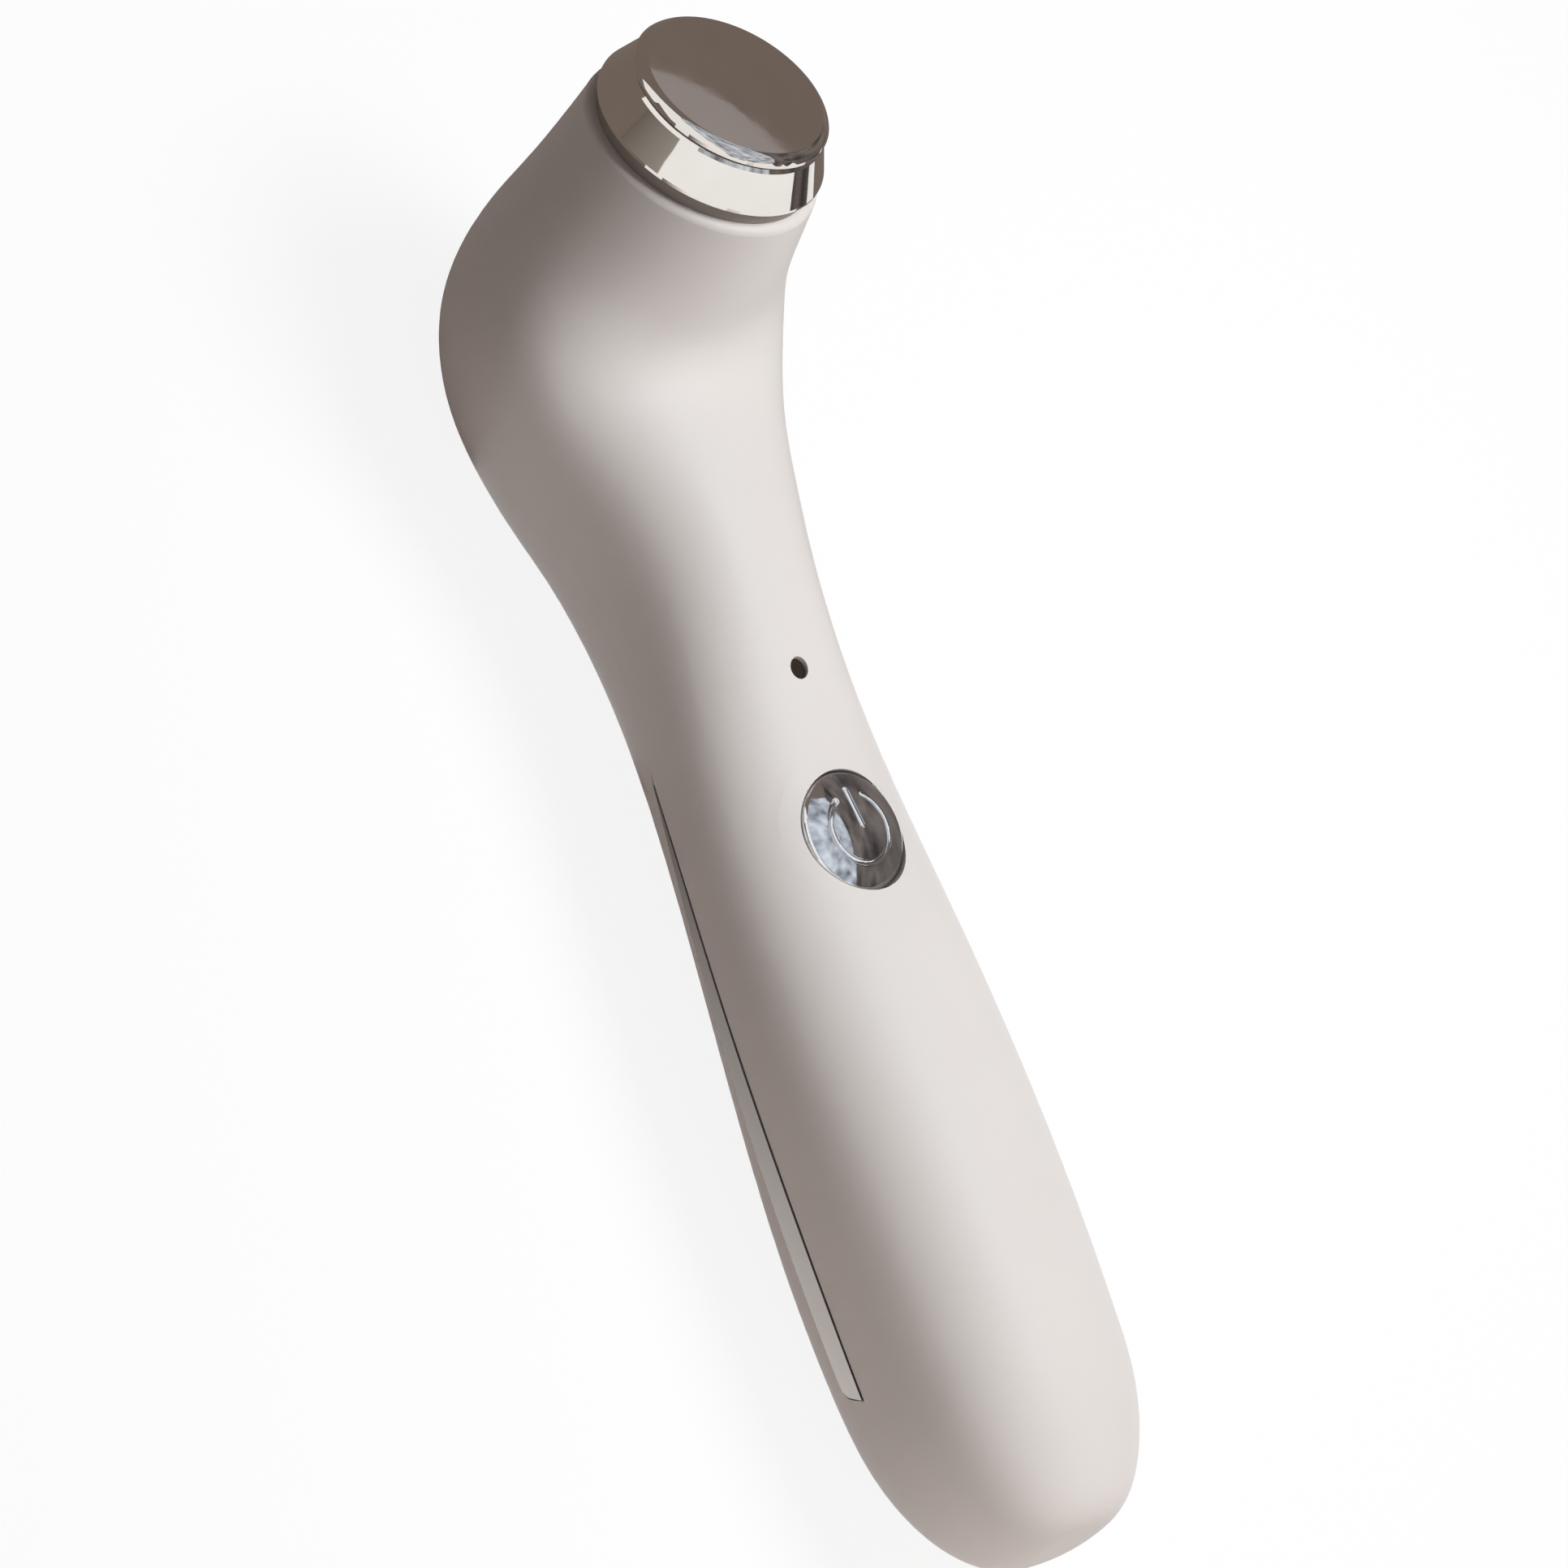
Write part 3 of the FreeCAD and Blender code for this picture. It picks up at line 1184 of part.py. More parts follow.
def pieces():
    """Every node's solid in the handle frame."""
    forms = Forms()
    nodes = {
        "front_shell": front_shell(forms),
        "rear_shell": rear_shell(forms),
        "side_strip_left": strip(forms, 1),
        "side_strip_right": strip(forms, -1),
        "head_collar": head_collar(),
        "rim_seal": rim_seal(),
        "plate_gasket": plate_gasket(),
        "contact_plate": contact_plate(),
        "plate_carrier": plate_carrier(),
        "carrier_screws": carrier_screws(),
        "heater_film": heater_film(),
        "thermistor": thermistor(),
        "button_cap": button_cap(),
        "switch_body": switch_body(),
        "switch_plunger": switch_plunger(),
        "light_pipe": light_pipe(),
        "status_led": status_led(),
        "main_board": main_board(),
        "board_screws": board_screws(),
        "control_chip": control_chip(),
        "board_parts": board_parts(),
        "battery_cell": battery_cell(),
        "battery_pad": battery_pad(),
        "inner_frame": inner_frame(),
        "frame_screws": frame_screws(),
        "charge_board": charge_board(),
        "charge_board_screws": charge_board_screws(),
        "charge_socket_shell": charge_socket_shell(),
        "charge_socket_core": charge_socket_core(),
        "motor_can": motor_can(),
        "motor_end_cap": motor_end_cap(),
        "motor_shaft": motor_shaft(),
        "eccentric_weight": eccentric_weight(),
        "motor_holder": motor_holder(),
        "holder_screws": holder_screws(),
    }
    for name, make in (("heater", heater_lead), ("motor", motor_lead), ("cell", cell_lead),
                       ("charge", charge_lead), ("strip", strip_lead)):
        nodes[name + "_lead_left"] = make(1)
        nodes[name + "_lead_right"] = make(-1)
    return nodes


def main():
    """Build the pieces, lay them down and write one file each."""
    os.makedirs("parts", exist_ok=True)
    nodes = pieces()
    turn = Placement(Vector(0, 0, 0), rest_turn())
    for shape in nodes.values():
        placed(shape, turn)
    bounds = FreeCAD.BoundBox()
    for shape in nodes.values():
        bounds.add(shape.optimalBoundingBox(False, False))
    shift = Placement(Vector(-bounds.Center.x, 0, -bounds.ZMin), Rotation())
    for name, shape in nodes.items():
        placed(shape, shift)
        shape.exportStep(f"parts/{name}.step")
        print(name, len(shape.Solids), shape.isValid(), round(shape.Volume, 2))
    row = shift.multiply(turn)
    head = row.multiply(head_place())
    print("box", bounds)
    print("button axis", row.Rotation.multVec(Vector(0, 0, 1)), row.multVec(Vector(BUTTON_AT, 0, BOARD_TOP)))
    print("rotor axis", row.Rotation.multVec(Vector(1, 0, 0)), row.multVec(Vector(MOTOR_END, 0, MOTOR_Z)))
    print("plate face", head.multVec(Vector(0, 0, PLATE_FACE)), head.Rotation.multVec(Vector(0, 0, 1)))
    mouth = row.multiply(socket_place())
    out = mouth.Rotation.multVec(Vector(-1, 0, 0))
    print("socket mouth", mouth.multVec(Vector(SOCKET_RECESS, 0, 0)), out)


main()
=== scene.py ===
"""Facial massager lying on its back: finishes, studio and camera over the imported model."""
import json
import logging
import math
from dataclasses import dataclass, field
from enum import Enum

import bmesh
import bpy
from mathutils import Matrix, Vector

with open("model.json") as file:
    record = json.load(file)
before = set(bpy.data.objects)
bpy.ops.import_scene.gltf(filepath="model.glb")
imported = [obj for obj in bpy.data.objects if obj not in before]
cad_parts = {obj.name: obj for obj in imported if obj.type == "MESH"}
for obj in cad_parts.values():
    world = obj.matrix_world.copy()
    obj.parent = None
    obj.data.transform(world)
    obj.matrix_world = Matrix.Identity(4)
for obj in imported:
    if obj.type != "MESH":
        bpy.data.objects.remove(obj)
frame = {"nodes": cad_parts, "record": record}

LOG = logging.getLogger("facial_massager")
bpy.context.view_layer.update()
PHOTO_SIDE = 1932
NOISE_LOW = 0.3
NOISE_HIGH = 0.7
OPAQUE = 1.0
FULL_METAL = 1.0
HALF = 0.5
ROUND_CARD_SEGMENTS = 64

Colour = tuple[float, float, float]
Point = tuple[float, float, float]
Socket = bpy.types.NodeSocket


class Body(Enum):
    """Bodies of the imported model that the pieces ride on."""

    HOUSING = "housing"
    BUTTON = "button"
    PLUNGER = "plunger"
    ROTOR = "rotor"


class Slot(Enum):
    """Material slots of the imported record."""

    SOFT_TOUCH = "soft_touch"
    STRIP_METAL = "strip_metal"
    COLLAR_CHROME = "collar_chrome"
    PLATE_METAL = "plate_metal"
    BUTTON_CHROME = "button_chrome"
    DARK_RUBBER = "dark_rubber"
    SMOKED_WINDOW = "smoked_window"
    FRAME_PLASTIC = "frame_plastic"
    SCREW_STEEL = "screw_steel"
    HEATER_FOIL = "heater_foil"
    BOARD_GREEN = "board_green"
    CHIP_BLACK = "chip_black"
    COMPONENT_TAN = "component_tan"
    LED_WHITE = "led_white"
    CELL_WRAP = "cell_wrap"
    FOAM_GREY = "foam_grey"
    SOCKET_STEEL = "socket_steel"
    MOTOR_STEEL = "motor_steel"
    WEIGHT_BRASS = "weight_brass"
    LEAD_RED = "lead_red"
    LEAD_BLACK = "lead_black"


class CardShape(Enum):
    """Outline of a card beside the set."""

    SQUARE = "square"
    ROUND = "round"


class CardPattern(Enum):
    """How the colour of a card runs over it."""

    PLAIN = "plain"
    PATCHY = "patchy"
    FADING = "fading"


class NodeBench:
    """Small helper that wires the nodes of one material."""

    def __init__(self, name: str) -> None:
        """Start an empty node material.

        Args:
            name: Name of the material.
        """
        self.material: bpy.types.Material = bpy.data.materials.new(name)
        self.material.use_nodes = True
        self.tree: bpy.types.NodeTree = self.material.node_tree
        self.tree.nodes.clear()
        self.output = self.add("ShaderNodeOutputMaterial")
        self.coords = self.add("ShaderNodeTexCoord")

    def add(self, kind: str) -> bpy.types.Node:
        """Add a node of a kind."""
        return self.tree.nodes.new(kind)

    def link(self, source: Socket, target: Socket) -> None:
        """Connect two sockets."""
        self.tree.links.new(source, target)

    def noise(self, scale: float, detail: float) -> Socket:
        """Noise over the piece.

        Args:
            scale: Waves per metre.
            detail: Number of finer layers.

        Returns:
            The noise value socket.
        """
        node = self.add("ShaderNodeTexNoise")
        node.inputs["Scale"].default_value = scale
        node.inputs["Detail"].default_value = detail
        self.link(self.coords.outputs["Object"], node.inputs["Vector"])
        return node.outputs["Fac"]

    def spread(self, value: Socket, low: float, high: float) -> Socket:
        """Map a noise value to a range.

        Args:
            value: Socket with values about NOISE_LOW to NOISE_HIGH.
            low: Result at the low end.
            high: Result at the high end.

        Returns:
            The mapped value socket.
        """
        node = self.add("ShaderNodeMapRange")
        node.inputs["From Min"].default_value = NOISE_LOW
        node.inputs["From Max"].default_value = NOISE_HIGH
        node.inputs["To Min"].default_value = low
        node.inputs["To Max"].default_value = high
        self.link(value, node.inputs["Value"])
        return node.outputs["Result"]

    def tint(self, value: Socket, dark: Colour, light: Colour) -> Socket:
        """Colour between two shades by a noise value.

        Args:
            value: Noise socket.
            dark: Shade at the low end.
            light: Shade at the high end.

        Returns:
            The colour socket.
        """
        node = self.add("ShaderNodeValToRGB")
        low, high = node.color_ramp.elements
        low.position = NOISE_LOW
        low.color = (*dark, OPAQUE)
        high.position = NOISE_HIGH
        high.color = (*light, OPAQUE)
        self.link(value, node.inputs["Fac"])
        return node.outputs["Color"]

    def bump(self, height: Socket, strength: float, depth: float) -> Socket:
        """Surface relief.

        Args:
            height: Height socket from 0 to 1.
            strength: Share of the relief that shows.
            depth: Depth in metres.

        Returns:
            The normal socket.
        """
        node = self.add("ShaderNodeBump")
        node.inputs["Strength"].default_value = strength
        node.inputs["Distance"].default_value = depth
        self.link(height, node.inputs["Height"])
        return node.outputs["Normal"]

    def principled(self) -> bpy.types.Node:
        """Principled shader joined to the output.

        Returns:
            The shader node.
        """
        node = self.add("ShaderNodeBsdfPrincipled")
        self.link(node.outputs["BSDF"], self.output.inputs["Surface"])
        return node


def shade(colour: Colour, factor: float) -> Colour:
    """A colour made lighter or darker by a factor."""
    return (colour[0] * factor, colour[1] * factor, colour[2] * factor)


@dataclass(frozen=True)
class SoftTouch:
    """Satin rubbery coat of the shell halves, faintly clouded and finely grained."""

    name: str = "soft_touch_coat"
    colour: Colour = (0.76, 0.715, 0.69)
    rough_low: float = 0.40
    rough_high: float = 0.50
    cloud_scale: float = 45.0
    cloud_detail: float = 4.0
    cloud_share: float = 0.015
    grain_scale: float = 5200.0
    grain_detail: float = 2.0
    grain_strength: float = 0.10
    grain_depth: float = 0.00002
    specular: float = 0.45

    def make(self) -> bpy.types.Material:
        """Build the material.

        Returns:
            The finished material.
        """
        bench = NodeBench(self.name)
        skin = bench.principled()
        cloud = bench.noise(self.cloud_scale, self.cloud_detail)
        dark = shade(self.colour, 1.0 - self.cloud_share)
        light = shade(self.colour, 1.0 + self.cloud_share)
        bench.link(bench.tint(cloud, dark, light), skin.inputs["Base Color"])
        roughness = bench.spread(cloud, self.rough_low, self.rough_high)
        bench.link(roughness, skin.inputs["Roughness"])
        grain = bench.noise(self.grain_scale, self.grain_detail)
        relief = bench.bump(grain, self.grain_strength, self.grain_depth)
        bench.link(relief, skin.inputs["Normal"])
        skin.inputs["Specular IOR Level"].default_value = self.specular
        return bench.material


@dataclass(frozen=True)
class Polished:
    """Mirror-polished or plated metal with faint smudges and a fine ripple."""

    name: str
    colour: Colour
    rough_low: float = 0.03
    rough_high: float = 0.07
    smudge_scale: float = 160.0
    smudge_detail: float = 4.0
    dark_share: float = 0.97
    light_share: float = 1.02
    ripple_scale: float = 900.0
    ripple_detail: float = 2.0
    ripple_strength: float = 0.02
    ripple_depth: float = 0.00001

    def make(self) -> bpy.types.Material:
        """Build the material.

        Returns:
            The finished material.
        """
        bench = NodeBench(self.name)
        metal = bench.principled()
        film = bench.noise(self.smudge_scale, self.smudge_detail)
        dark = shade(self.colour, self.dark_share)
        light = shade(self.colour, self.light_share)
        bench.link(bench.tint(film, dark, light), metal.inputs["Base Color"])
        roughness = bench.spread(film, self.rough_low, self.rough_high)
        bench.link(roughness, metal.inputs["Roughness"])
        ripple = bench.noise(self.ripple_scale, self.ripple_detail)
        relief = bench.bump(ripple, self.ripple_strength, self.ripple_depth)
        bench.link(relief, metal.inputs["Normal"])
        metal.inputs["Metallic"].default_value = FULL_METAL
        return bench.material


@dataclass(frozen=True)
class Moulded:
    """Plain moulded, coated or insulated stuff with a fine grain."""

    name: str
    colour: Colour
    rough_low: float = 0.45
    rough_high: float = 0.60
    grain_scale: float = 2600.0
    grain_depth: float = 0.00002
    grain_strength: float = 0.2
    cloud_scale: float = 120.0
    metallic: float = 0.0
    cloud_detail: float = 3.0
    grain_detail: float = 2.0
    dark_share: float = 0.92
    light_share: float = 1.06

    def make(self) -> bpy.types.Material:
        """Build the material.

        Returns:
            The finished material.
        """
        bench = NodeBench(self.name)
        stuff = bench.principled()
        cloud = bench.noise(self.cloud_scale, self.cloud_detail)
        dark = shade(self.colour, self.dark_share)
        light = shade(self.colour, self.light_share)
        bench.link(bench.tint(cloud, dark, light), stuff.inputs["Base Color"])
        roughness = bench.spread(cloud, self.rough_low, self.rough_high)
        bench.link(roughness, stuff.inputs["Roughness"])
        grain = bench.noise(self.grain_scale, self.grain_detail)
        relief = bench.bump(grain, self.grain_strength, self.grain_depth)
        bench.link(relief, stuff.inputs["Normal"])
        stuff.inputs["Metallic"].default_value = self.metallic
        return bench.material


FINISHES: dict[Slot, SoftTouch | Polished | Moulded] = {
    Slot.SOFT_TOUCH: SoftTouch(),
    Slot.STRIP_METAL: Polished("strip_chrome", (0.44, 0.425, 0.41), 0.08, 0.14),
    Slot.COLLAR_CHROME: Polished("collar_chrome", (0.81, 0.775, 0.73), 0.03, 0.06),
    Slot.PLATE_METAL: Polished("plate_mirror", (0.78, 0.735, 0.70), 0.012, 0.028),
    Slot.BUTTON_CHROME: Polished("button_chrome", (0.80, 0.80, 0.82), 0.04, 0.07),
    Slot.DARK_RUBBER: Moulded("gasket_rubber", (0.30, 0.26, 0.235), 0.55, 0.7),
    Slot.SMOKED_WINDOW: Moulded("smoked_window", (0.035, 0.022, 0.016), 0.12, 0.2),
    Slot.FRAME_PLASTIC: Moulded("frame_plastic", (0.16, 0.16, 0.17)),
    Slot.SCREW_STEEL: Moulded("screw_steel", (0.55, 0.55, 0.56), 0.25, 0.4, metallic=FULL_METAL),
    Slot.HEATER_FOIL: Moulded("heater_film", (0.50, 0.25, 0.08), 0.25, 0.4),
    Slot.BOARD_GREEN: Moulded("board_lacquer", (0.05, 0.24, 0.12), 0.3, 0.42),
    Slot.CHIP_BLACK: Moulded("chip_black", (0.035, 0.035, 0.04)),
    Slot.COMPONENT_TAN: Moulded("component_tan", (0.45, 0.34, 0.22)),
    Slot.LED_WHITE: Moulded("part_white", (0.82, 0.82, 0.80)),
    Slot.CELL_WRAP: Moulded("cell_wrap", (0.16, 0.28, 0.52), 0.25, 0.4),
    Slot.FOAM_GREY: Moulded(
        "foam_grey", (0.18, 0.18, 0.19), 0.8, 0.95, grain_scale=1400.0, grain_depth=0.0002
    ),
    Slot.SOCKET_STEEL: Moulded("socket_steel", (0.60, 0.60, 0.60), 0.22, 0.34, metallic=FULL_METAL),
    Slot.MOTOR_STEEL: Moulded("motor_steel", (0.58, 0.58, 0.59), 0.25, 0.38, metallic=FULL_METAL),
    Slot.WEIGHT_BRASS: Moulded("weight_metal", (0.55, 0.44, 0.23), 0.35, 0.5, metallic=FULL_METAL),
    Slot.LEAD_RED: Moulded("lead_red", (0.50, 0.04, 0.03), 0.4, 0.5),
    Slot.LEAD_BLACK: Moulded("lead_black", (0.025, 0.025, 0.025), 0.4, 0.5),
}


@dataclass
class FinishRack:
    """Finishes made so far, and the nodes that wear them."""

    made: dict[Slot, bpy.types.Material] = field(default_factory=dict)
    dressed: set[str] = field(default_factory=set)

    def material(self, slot: Slot) -> bpy.types.Material:
        """Material of a slot, built on first use.

        Args:
            slot: Material slot of the record.

        Returns:
            The material.
        """
        if slot not in self.made:
            self.made[slot] = FINISHES[slot].make()
        return self.made[slot]

    def put_on(self, node: str) -> Slot:
        """Give a node the finish of its slot in the record.

        Args:
            node: Name of the node.

        Returns:
            The slot that the finish comes from.
        """
        row = next(part for part in frame["record"]["subparts"] if part["node"] == node)
        slot = Slot(row["material_slot"])
        piece = frame["nodes"][node]
        if not piece.material_slots:
            piece.data.materials.append(self.material(slot))
        for place in piece.material_slots:
            place.material = self.material(slot)
        self.dressed.add(node)
        return slot

    def check_complete(self) -> None:
        """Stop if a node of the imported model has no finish."""
        bare = set(frame["nodes"]) - self.dressed
        if bare:
            raise ValueError(f"nodes without a finish: {sorted(bare)}")


@dataclass
class SubAssembly:
    """Pieces that are fitted together and ride on one body."""

    body: Body = Body.HOUSING
    nodes: tuple[str, ...] = ()

    def dress(self, rack: FinishRack) -> None:
        """Give each piece its finish and report it.

        Args:
            rack: Finishes to take from.
        """
        riders = frame["record"]["behaviour"]["bodies"][self.body.value]
        for node in self.nodes:
            if node not in riders:
                raise ValueError(f"{node} does not ride on {self.body.value}")
            slot = rack.put_on(node)
            LOG.info("%s: %s on %s as %s", type(self).__name__, node, self.body.value, slot.value)


@dataclass
class Handle(SubAssembly):
    """Soft-touch halves and the chromed hand strips between them."""

    nodes: tuple[str, ...] = ("front_shell", "rear_shell", "side_strip_left", "side_strip_right")


@dataclass
class Head(SubAssembly):
    """Plate, collar and seals, and the carrier that clamps them to the rim."""

    nodes: tuple[str, ...] = (
        "head_collar", "contact_plate", "plate_gasket", "rim_seal",
        "plate_carrier", "carrier_screws", "heater_film", "thermistor",
    )


@dataclass
class PushButton(SubAssembly):
    """Domed chrome button with its sunk power sign."""

    body: Body = Body.BUTTON
    nodes: tuple[str, ...] = ("button_cap",)


@dataclass
class SwitchPlunger(SubAssembly):
    """Plunger that the button pushes into the switch."""

    body: Body = Body.PLUNGER
    nodes: tuple[str, ...] = ("switch_plunger",)


@dataclass
class StatusLight(SubAssembly):
    """Dark window and the lamp chip under it."""

    nodes: tuple[str, ...] = ("light_pipe", "status_led")


@dataclass
class Electronics(SubAssembly):
    """Inner frame with the main board and what is soldered to it."""

    nodes: tuple[str, ...] = (
        "inner_frame", "frame_screws", "main_board", "board_screws",
        "control_chip", "board_parts", "switch_body",
    )


@dataclass
class Power(SubAssembly):
    """Cell and the foam pad that holds it still."""

    nodes: tuple[str, ...] = ("battery_cell", "battery_pad")


@dataclass
class ShakerMotor(SubAssembly):
    """Standing part of the vibration motor and its holder."""

    nodes: tuple[str, ...] = ("motor_can", "motor_end_cap", "motor_holder", "holder_screws")


@dataclass
class Rotor(SubAssembly):
    """Shaft and eccentric weight that spin."""

    body: Body = Body.ROTOR
    nodes: tuple[str, ...] = ("motor_shaft", "eccentric_weight")


@dataclass
class ChargePort(SubAssembly):
    """Charging socket and its small board in the butt end."""

    nodes: tuple[str, ...] = (
        "charge_socket_shell", "charge_socket_core", "charge_board", "charge_board_screws",
    )


@dataclass
class Wiring(SubAssembly):
    """Insulated leads, a red and a black one of each."""

    nodes: tuple[str, ...] = tuple(
        f"{end}_lead_{side}"
        for end in ("heater", "motor", "cell", "charge", "strip")
        for side in ("left", "right")
    )


@dataclass
class Viewpoint:
    """Camera at the photograph's viewing angle, solved from its outline."""

    target: Vector = field(default_factory=lambda: Vector((-0.0032341, 0.0, 0.0151019)))
    right: Vector = field(default_factory=lambda: Vector((-0.35303, -0.7092, 0.61030)))
    up: Vector = field(default_factory=lambda: Vector((0.92618, -0.1727, 0.33517)))
    toward: Vector = field(default_factory=lambda: Vector((-0.13228, 0.6836, 0.71775)))
    distance: float = 0.80026
    view_width: float = 0.17098
    target_px: tuple[float, float] = (975.15, 1060.49)
    sensor_mm: float = 36.0
    near_clip: float = 0.01
    far_clip: float = 20.0

    def way(self, along: Point) -> Vector:
        """Unit vector in the scene from shares of right, up and toward the camera."""
        way = self.right * along[0] + self.up * along[1] + self.toward * along[2]
        return way.normalized()

    def build(self) -> bpy.types.Object:
        """Create the camera and make it the scene's own.

        Returns:
            The camera object.
        """
        data = bpy.data.cameras.new("camera")
        data.sensor_width = self.sensor_mm
        data.lens = self.sensor_mm * self.distance / self.view_width
        data.shift_x = (PHOTO_SIDE / 2 - self.target_px[0]) / PHOTO_SIDE
        data.shift_y = (self.target_px[1] - PHOTO_SIDE / 2) / PHOTO_SIDE
        data.clip_start = self.near_clip
        data.clip_end = self.far_clip
        camera = bpy.data.objects.new("camera", data)
        turn = Matrix((self.right, self.up, self.toward)).transposed().to_4x4()
        place = Matrix.Translation(self.target + self.toward * self.distance)
        camera.matrix_world = place @ turn
        bpy.context.scene.collection.objects.link(camera)
        bpy.context.scene.camera = camera
        return camera


@dataclass(frozen=True)
class Softbox:
    """Square soft lamp aimed at the massager, which lights it but shows in no mirror."""

    name: str
    along: Point
    far: float
    level: float
    colour: Colour
    side: float = 0.2

    def build(self, view: Viewpoint) -> bpy.types.Object:
        """Create the lamp so that a white face at the target renders at its level.

        Args:
            view: Camera whose axes place the lamp.

        Returns:
            The lamp object.
        """
        data = bpy.data.lights.new(self.name, "AREA")
        data.size = self.side
        data.energy = self.level * (math.pi * self.far) ** 2
        data.color = self.colour
        way = view.way(self.along)
        lamp = bpy.data.objects.new(self.name, data)
        lamp.location = view.target + way * self.far
        lamp.rotation_euler = way.to_track_quat("Z", "Y").to_euler()
        lamp.visible_glossy = False
        bpy.context.scene.collection.objects.link(lamp)
        return lamp


@dataclass(frozen=True)
class Card:
    """Flat card beside the set that shows only as a reflection."""

    name: str
    low: Point
    high: Point
    colour: Colour
    second: Colour = (0.0, 0.0, 0.0)
    pattern: CardPattern = CardPattern.PLAIN
    patch_scale: float = 4.0
    patch_detail: float = 2.0
    shape: CardShape = CardShape.SQUARE

    def outline(self, bm: bmesh.types.BMesh) -> None:
        """Add the card's flat face between its two corners.

        Args:
            bm: Mesh to add to.
        """
        if self.shape is CardShape.ROUND:
            bmesh.ops.create_circle(bm, cap_ends=True, segments=ROUND_CARD_SEGMENTS, radius=HALF)
        else:
            bmesh.ops.create_grid(bm, x_segments=1, y_segments=1, size=HALF)
        low = Vector(self.low)
        span = Vector(self.high) - low
        flat = min(range(3), key=lambda axis: abs(span[axis]))
        first, second = [axis for axis in range(3) if axis != flat]
        for vert in bm.verts:
            place = low.copy()
            place[first] += span[first] * (vert.co.x + HALF)
            place[second] += span[second] * (vert.co.y + HALF)
            vert.co = place

    def along(self, bench: NodeBench) -> Socket:
        """Share that grows along the card's x extent.

        Args:
            bench: Bench of the card's material.

        Returns:
            Socket from NOISE_LOW at the low corner to NOISE_HIGH at the high corner.
        """
        split = bench.add("ShaderNodeSeparateXYZ")
        bench.link(bench.coords.outputs["Object"], split.inputs["Vector"])
        ramp = bench.add("ShaderNodeMapRange")
        ramp.inputs["From Min"].default_value = self.low[0]
        ramp.inputs["From Max"].default_value = self.high[0]
        ramp.inputs["To Min"].default_value = NOISE_LOW
        ramp.inputs["To Max"].default_value = NOISE_HIGH
        bench.link(split.outputs["X"], ramp.inputs["Value"])
        return ramp.outputs["Result"]

    def paint(self) -> bpy.types.Material:
        """Glow that the polished pieces mirror.

        Returns:
            The card's material.
        """
        bench = NodeBench(self.name)
        glow = bench.add("ShaderNodeEmission")
        if self.pattern is CardPattern.PLAIN:
            glow.inputs["Color"].default_value = (*self.colour, OPAQUE)
        elif self.pattern is CardPattern.PATCHY:
            share = bench.noise(self.patch_scale, self.patch_detail)
            bench.link(bench.tint(share, self.colour, self.second), glow.inputs["Color"])
        else:
            share = self.along(bench)
            bench.link(bench.tint(share, self.colour, self.second), glow.inputs["Color"])
        bench.link(glow.outputs[0], bench.output.inputs["Surface"])
        return bench.material

    def build(self) -> bpy.types.Object:
        """Build the card.

        Returns:
            The card object.
        """
        bm = bmesh.new()
        self.outline(bm)
        mesh = bpy.data.meshes.new(self.name)
        bm.to_mesh(mesh)
        bm.free()
        mesh.materials.append(self.paint())
        card = bpy.data.objects.new(self.name, mesh)
        bpy.context.scene.collection.objects.link(card)
        for ray in ("camera", "diffuse", "transmission", "shadow", "volume_scatter"):
            setattr(card, "visible_" + ray, False)
        return card


DUSK: Colour = (0.19, 0.154, 0.133)
WALL_DARK: Colour = (0.05, 0.045, 0.045)
WALL_PALE: Colour = (0.22, 0.19, 0.175)


def wall_card(name: str, low: Point, high: Point) -> Card:
    """A piece of the dark, patchy far wall between two corners."""
    return Card(name, low, high, WALL_DARK, WALL_PALE, CardPattern.PATCHY)


CARDS: tuple[Card, ...] = (
    wall_card("far_wall_card", (-0.38, -0.62, 0.0), (1.2, -0.62, 1.2)),
    wall_card("far_wall_high_card", (-1.0, -0.62, 0.7), (-0.38, -0.62, 1.2)),
    wall_card("far_wall_mid_card", (-0.62, -0.62, 0.5), (-0.38, -0.62, 0.7)),
    Card("plate_wall_card", (0.50, -0.60, 0.24), (0.78, -0.60, 0.44), DUSK),
    Card(
        "plate_lens_card", (0.542, -0.59, 0.329), (0.722, -0.59, 0.509), (0.336, 0.303, 0.293),
        shape=CardShape.ROUND,
    ),
    Card(
        "ceiling_card", (-1.0, -0.62, 1.2), (0.8, 0.6, 1.2), (0.16, 0.17, 0.20), (0.85, 0.92, 1.0),
        CardPattern.PATCHY, patch_scale=5.0,
    ),
    Card("head_wall_card", (0.8, -0.62, 0.0), (0.8, 0.4, 1.2), DUSK),
    Card("far_floor_card", (0.02, -0.62, 0.0006), (0.8, -0.035, 0.0006), DUSK),
    Card("near_floor_card", (0.05, -0.035, 0.0006), (0.8, 1.0, 0.0006), DUSK),
    Card(
        "near_wall_card", (-0.45, 1.0, 0.0), (0.8, 1.0, 0.42),
        (0.42, 0.39, 0.35), (0.13, 0.11, 0.10), CardPattern.FADING,
    ),
    Card(
        "strip_floor_card", (-0.06, 0.0, 0.0008), (0.014, 0.12, 0.0008),
        (1.0, 0.95, 0.92), (0.17, 0.14, 0.13), CardPattern.FADING,
    ),
)
SOFTBOXES: tuple[Softbox, ...] = (
    Softbox("key_softbox", (0.78, 0.44, 0.44), 0.42, 0.94, (0.955, 0.99, 1.0)),
    Softbox("fill_softbox", (0.38, -0.75, 0.54), 0.27, 0.28, (1.0, 0.96, 0.93)),
)


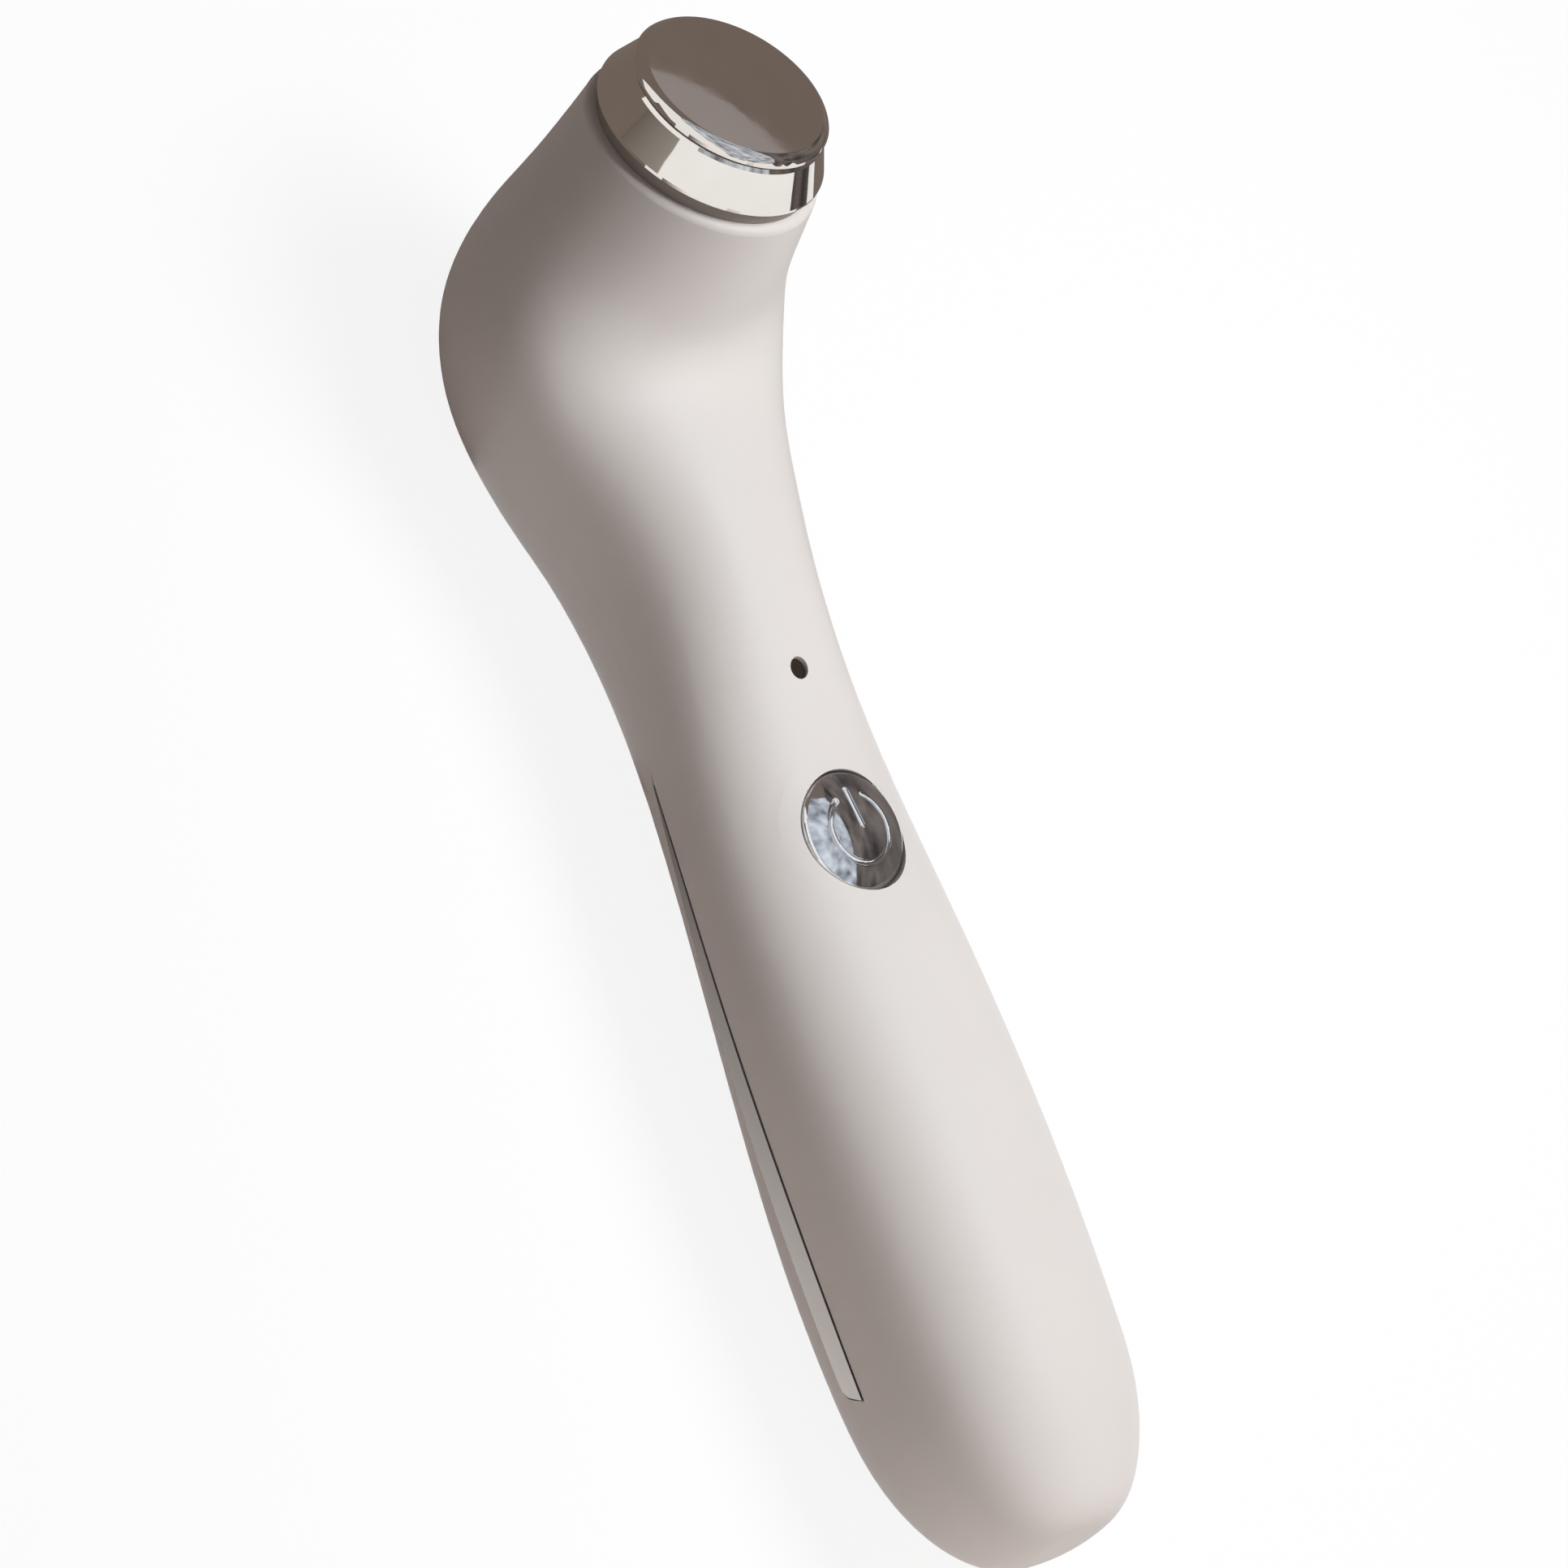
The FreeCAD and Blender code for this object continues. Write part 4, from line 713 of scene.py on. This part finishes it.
@dataclass
class Studio:
    """Pale floor, white surround, soft lamps and the cards that the metal mirrors."""

    view: Viewpoint
    ambient: float = 0.12
    ambient_colour: Colour = (1.0, 0.86, 0.81)
    floor_reach: float = 3.0
    floor_cells: int = 8
    floor_glow: float = 0.88
    floor_paint: Colour = (0.96, 0.96, 0.96)
    floor_bounce: Colour = (0.50, 0.44, 0.41)
    surround: Colour = (1.0, 1.0, 1.0)
    surround_strength: float = 1.0

    def white_for_eyes(self, tree: bpy.types.NodeTree) -> Socket:
        """Switch that is 1 for camera, mirror and glass rays.

        Args:
            tree: Node tree to add to.

        Returns:
            The switch socket.
        """
        path = tree.nodes.new("ShaderNodeLightPath")
        eye_or_mirror = tree.nodes.new("ShaderNodeMath")
        eye_or_mirror.operation = "MAXIMUM"
        tree.links.new(path.outputs["Is Camera Ray"], eye_or_mirror.inputs[0])
        tree.links.new(path.outputs["Is Glossy Ray"], eye_or_mirror.inputs[1])
        any_of_three = tree.nodes.new("ShaderNodeMath")
        any_of_three.operation = "MAXIMUM"
        tree.links.new(eye_or_mirror.outputs[0], any_of_three.inputs[0])
        tree.links.new(path.outputs["Is Transmission Ray"], any_of_three.inputs[1])
        return any_of_three.outputs[0]

    def build_world(self) -> None:
        """White surround for the eye, dim surround for the light."""
        world = bpy.data.worlds.new("surround")
        bpy.context.scene.world = world
        world.use_nodes = True
        tree = world.node_tree
        tree.nodes.clear()
        output = tree.nodes.new("ShaderNodeOutputWorld")
        mix = tree.nodes.new("ShaderNodeMixShader")
        dim = tree.nodes.new("ShaderNodeBackground")
        dim.inputs["Color"].default_value = (*self.ambient_colour, OPAQUE)
        dim.inputs["Strength"].default_value = self.ambient
        white = tree.nodes.new("ShaderNodeBackground")
        white.inputs["Color"].default_value = (*self.surround, OPAQUE)
        white.inputs["Strength"].default_value = self.surround_strength
        tree.links.new(self.white_for_eyes(tree), mix.inputs["Fac"])
        tree.links.new(dim.outputs[0], mix.inputs[1])
        tree.links.new(white.outputs[0], mix.inputs[2])
        tree.links.new(mix.outputs[0], output.inputs["Surface"])

    def floor_material(self) -> bpy.types.Material:
        """Near-white to the eye, with a soft shadow, and a warm bounce for the light.

        Returns:
            The floor's material.
        """
        bench = NodeBench("pale_floor")
        seen = bench.add("ShaderNodeMixShader")
        seen.inputs["Fac"].default_value = self.floor_glow
        paint = bench.add("ShaderNodeBsdfDiffuse")
        paint.inputs["Color"].default_value = (*self.floor_paint, OPAQUE)
        glow = bench.add("ShaderNodeEmission")
        bench.link(paint.outputs[0], seen.inputs[1])
        bench.link(glow.outputs[0], seen.inputs[2])
        bounce = bench.add("ShaderNodeBsdfDiffuse")
        bounce.inputs["Color"].default_value = (*self.floor_bounce, OPAQUE)
        choice = bench.add("ShaderNodeMixShader")
        bench.link(self.white_for_eyes(bench.tree), choice.inputs["Fac"])
        bench.link(bounce.outputs[0], choice.inputs[1])
        bench.link(seen.outputs[0], choice.inputs[2])
        bench.link(choice.outputs[0], bench.output.inputs["Surface"])
        return bench.material

    def build_floor(self) -> bpy.types.Object:
        """Large pale floor under the massager.

        Returns:
            The floor object.
        """
        bm = bmesh.new()
        cells = self.floor_cells
        bmesh.ops.create_grid(bm, x_segments=cells, y_segments=cells, size=self.floor_reach)
        mesh = bpy.data.meshes.new("floor")
        bm.to_mesh(mesh)
        bm.free()
        mesh.materials.append(self.floor_material())
        floor = bpy.data.objects.new("floor", mesh)
        bpy.context.scene.collection.objects.link(floor)
        return floor

    def build(self) -> None:
        """Build surround, floor, lamps and cards."""
        self.build_world()
        self.build_floor()
        for softbox in SOFTBOXES:
            softbox.build(self.view)
        for card in CARDS:
            card.build()


def main() -> None:
    """Dress the massager, then set up the camera and the studio."""
    logging.basicConfig(level=logging.INFO)
    bpy.context.scene.view_settings.view_transform = "Standard"
    rack = FinishRack()
    groups: tuple[SubAssembly, ...] = (
        Handle(), Head(), PushButton(), SwitchPlunger(), StatusLight(), Electronics(),
        Power(), ShakerMotor(), Rotor(), ChargePort(), Wiring(),
    )
    for group in groups:
        group.dress(rack)
    rack.check_complete()
    view = Viewpoint()
    view.build()
    Studio(view).build()


if __name__ == "__main__":
    main()
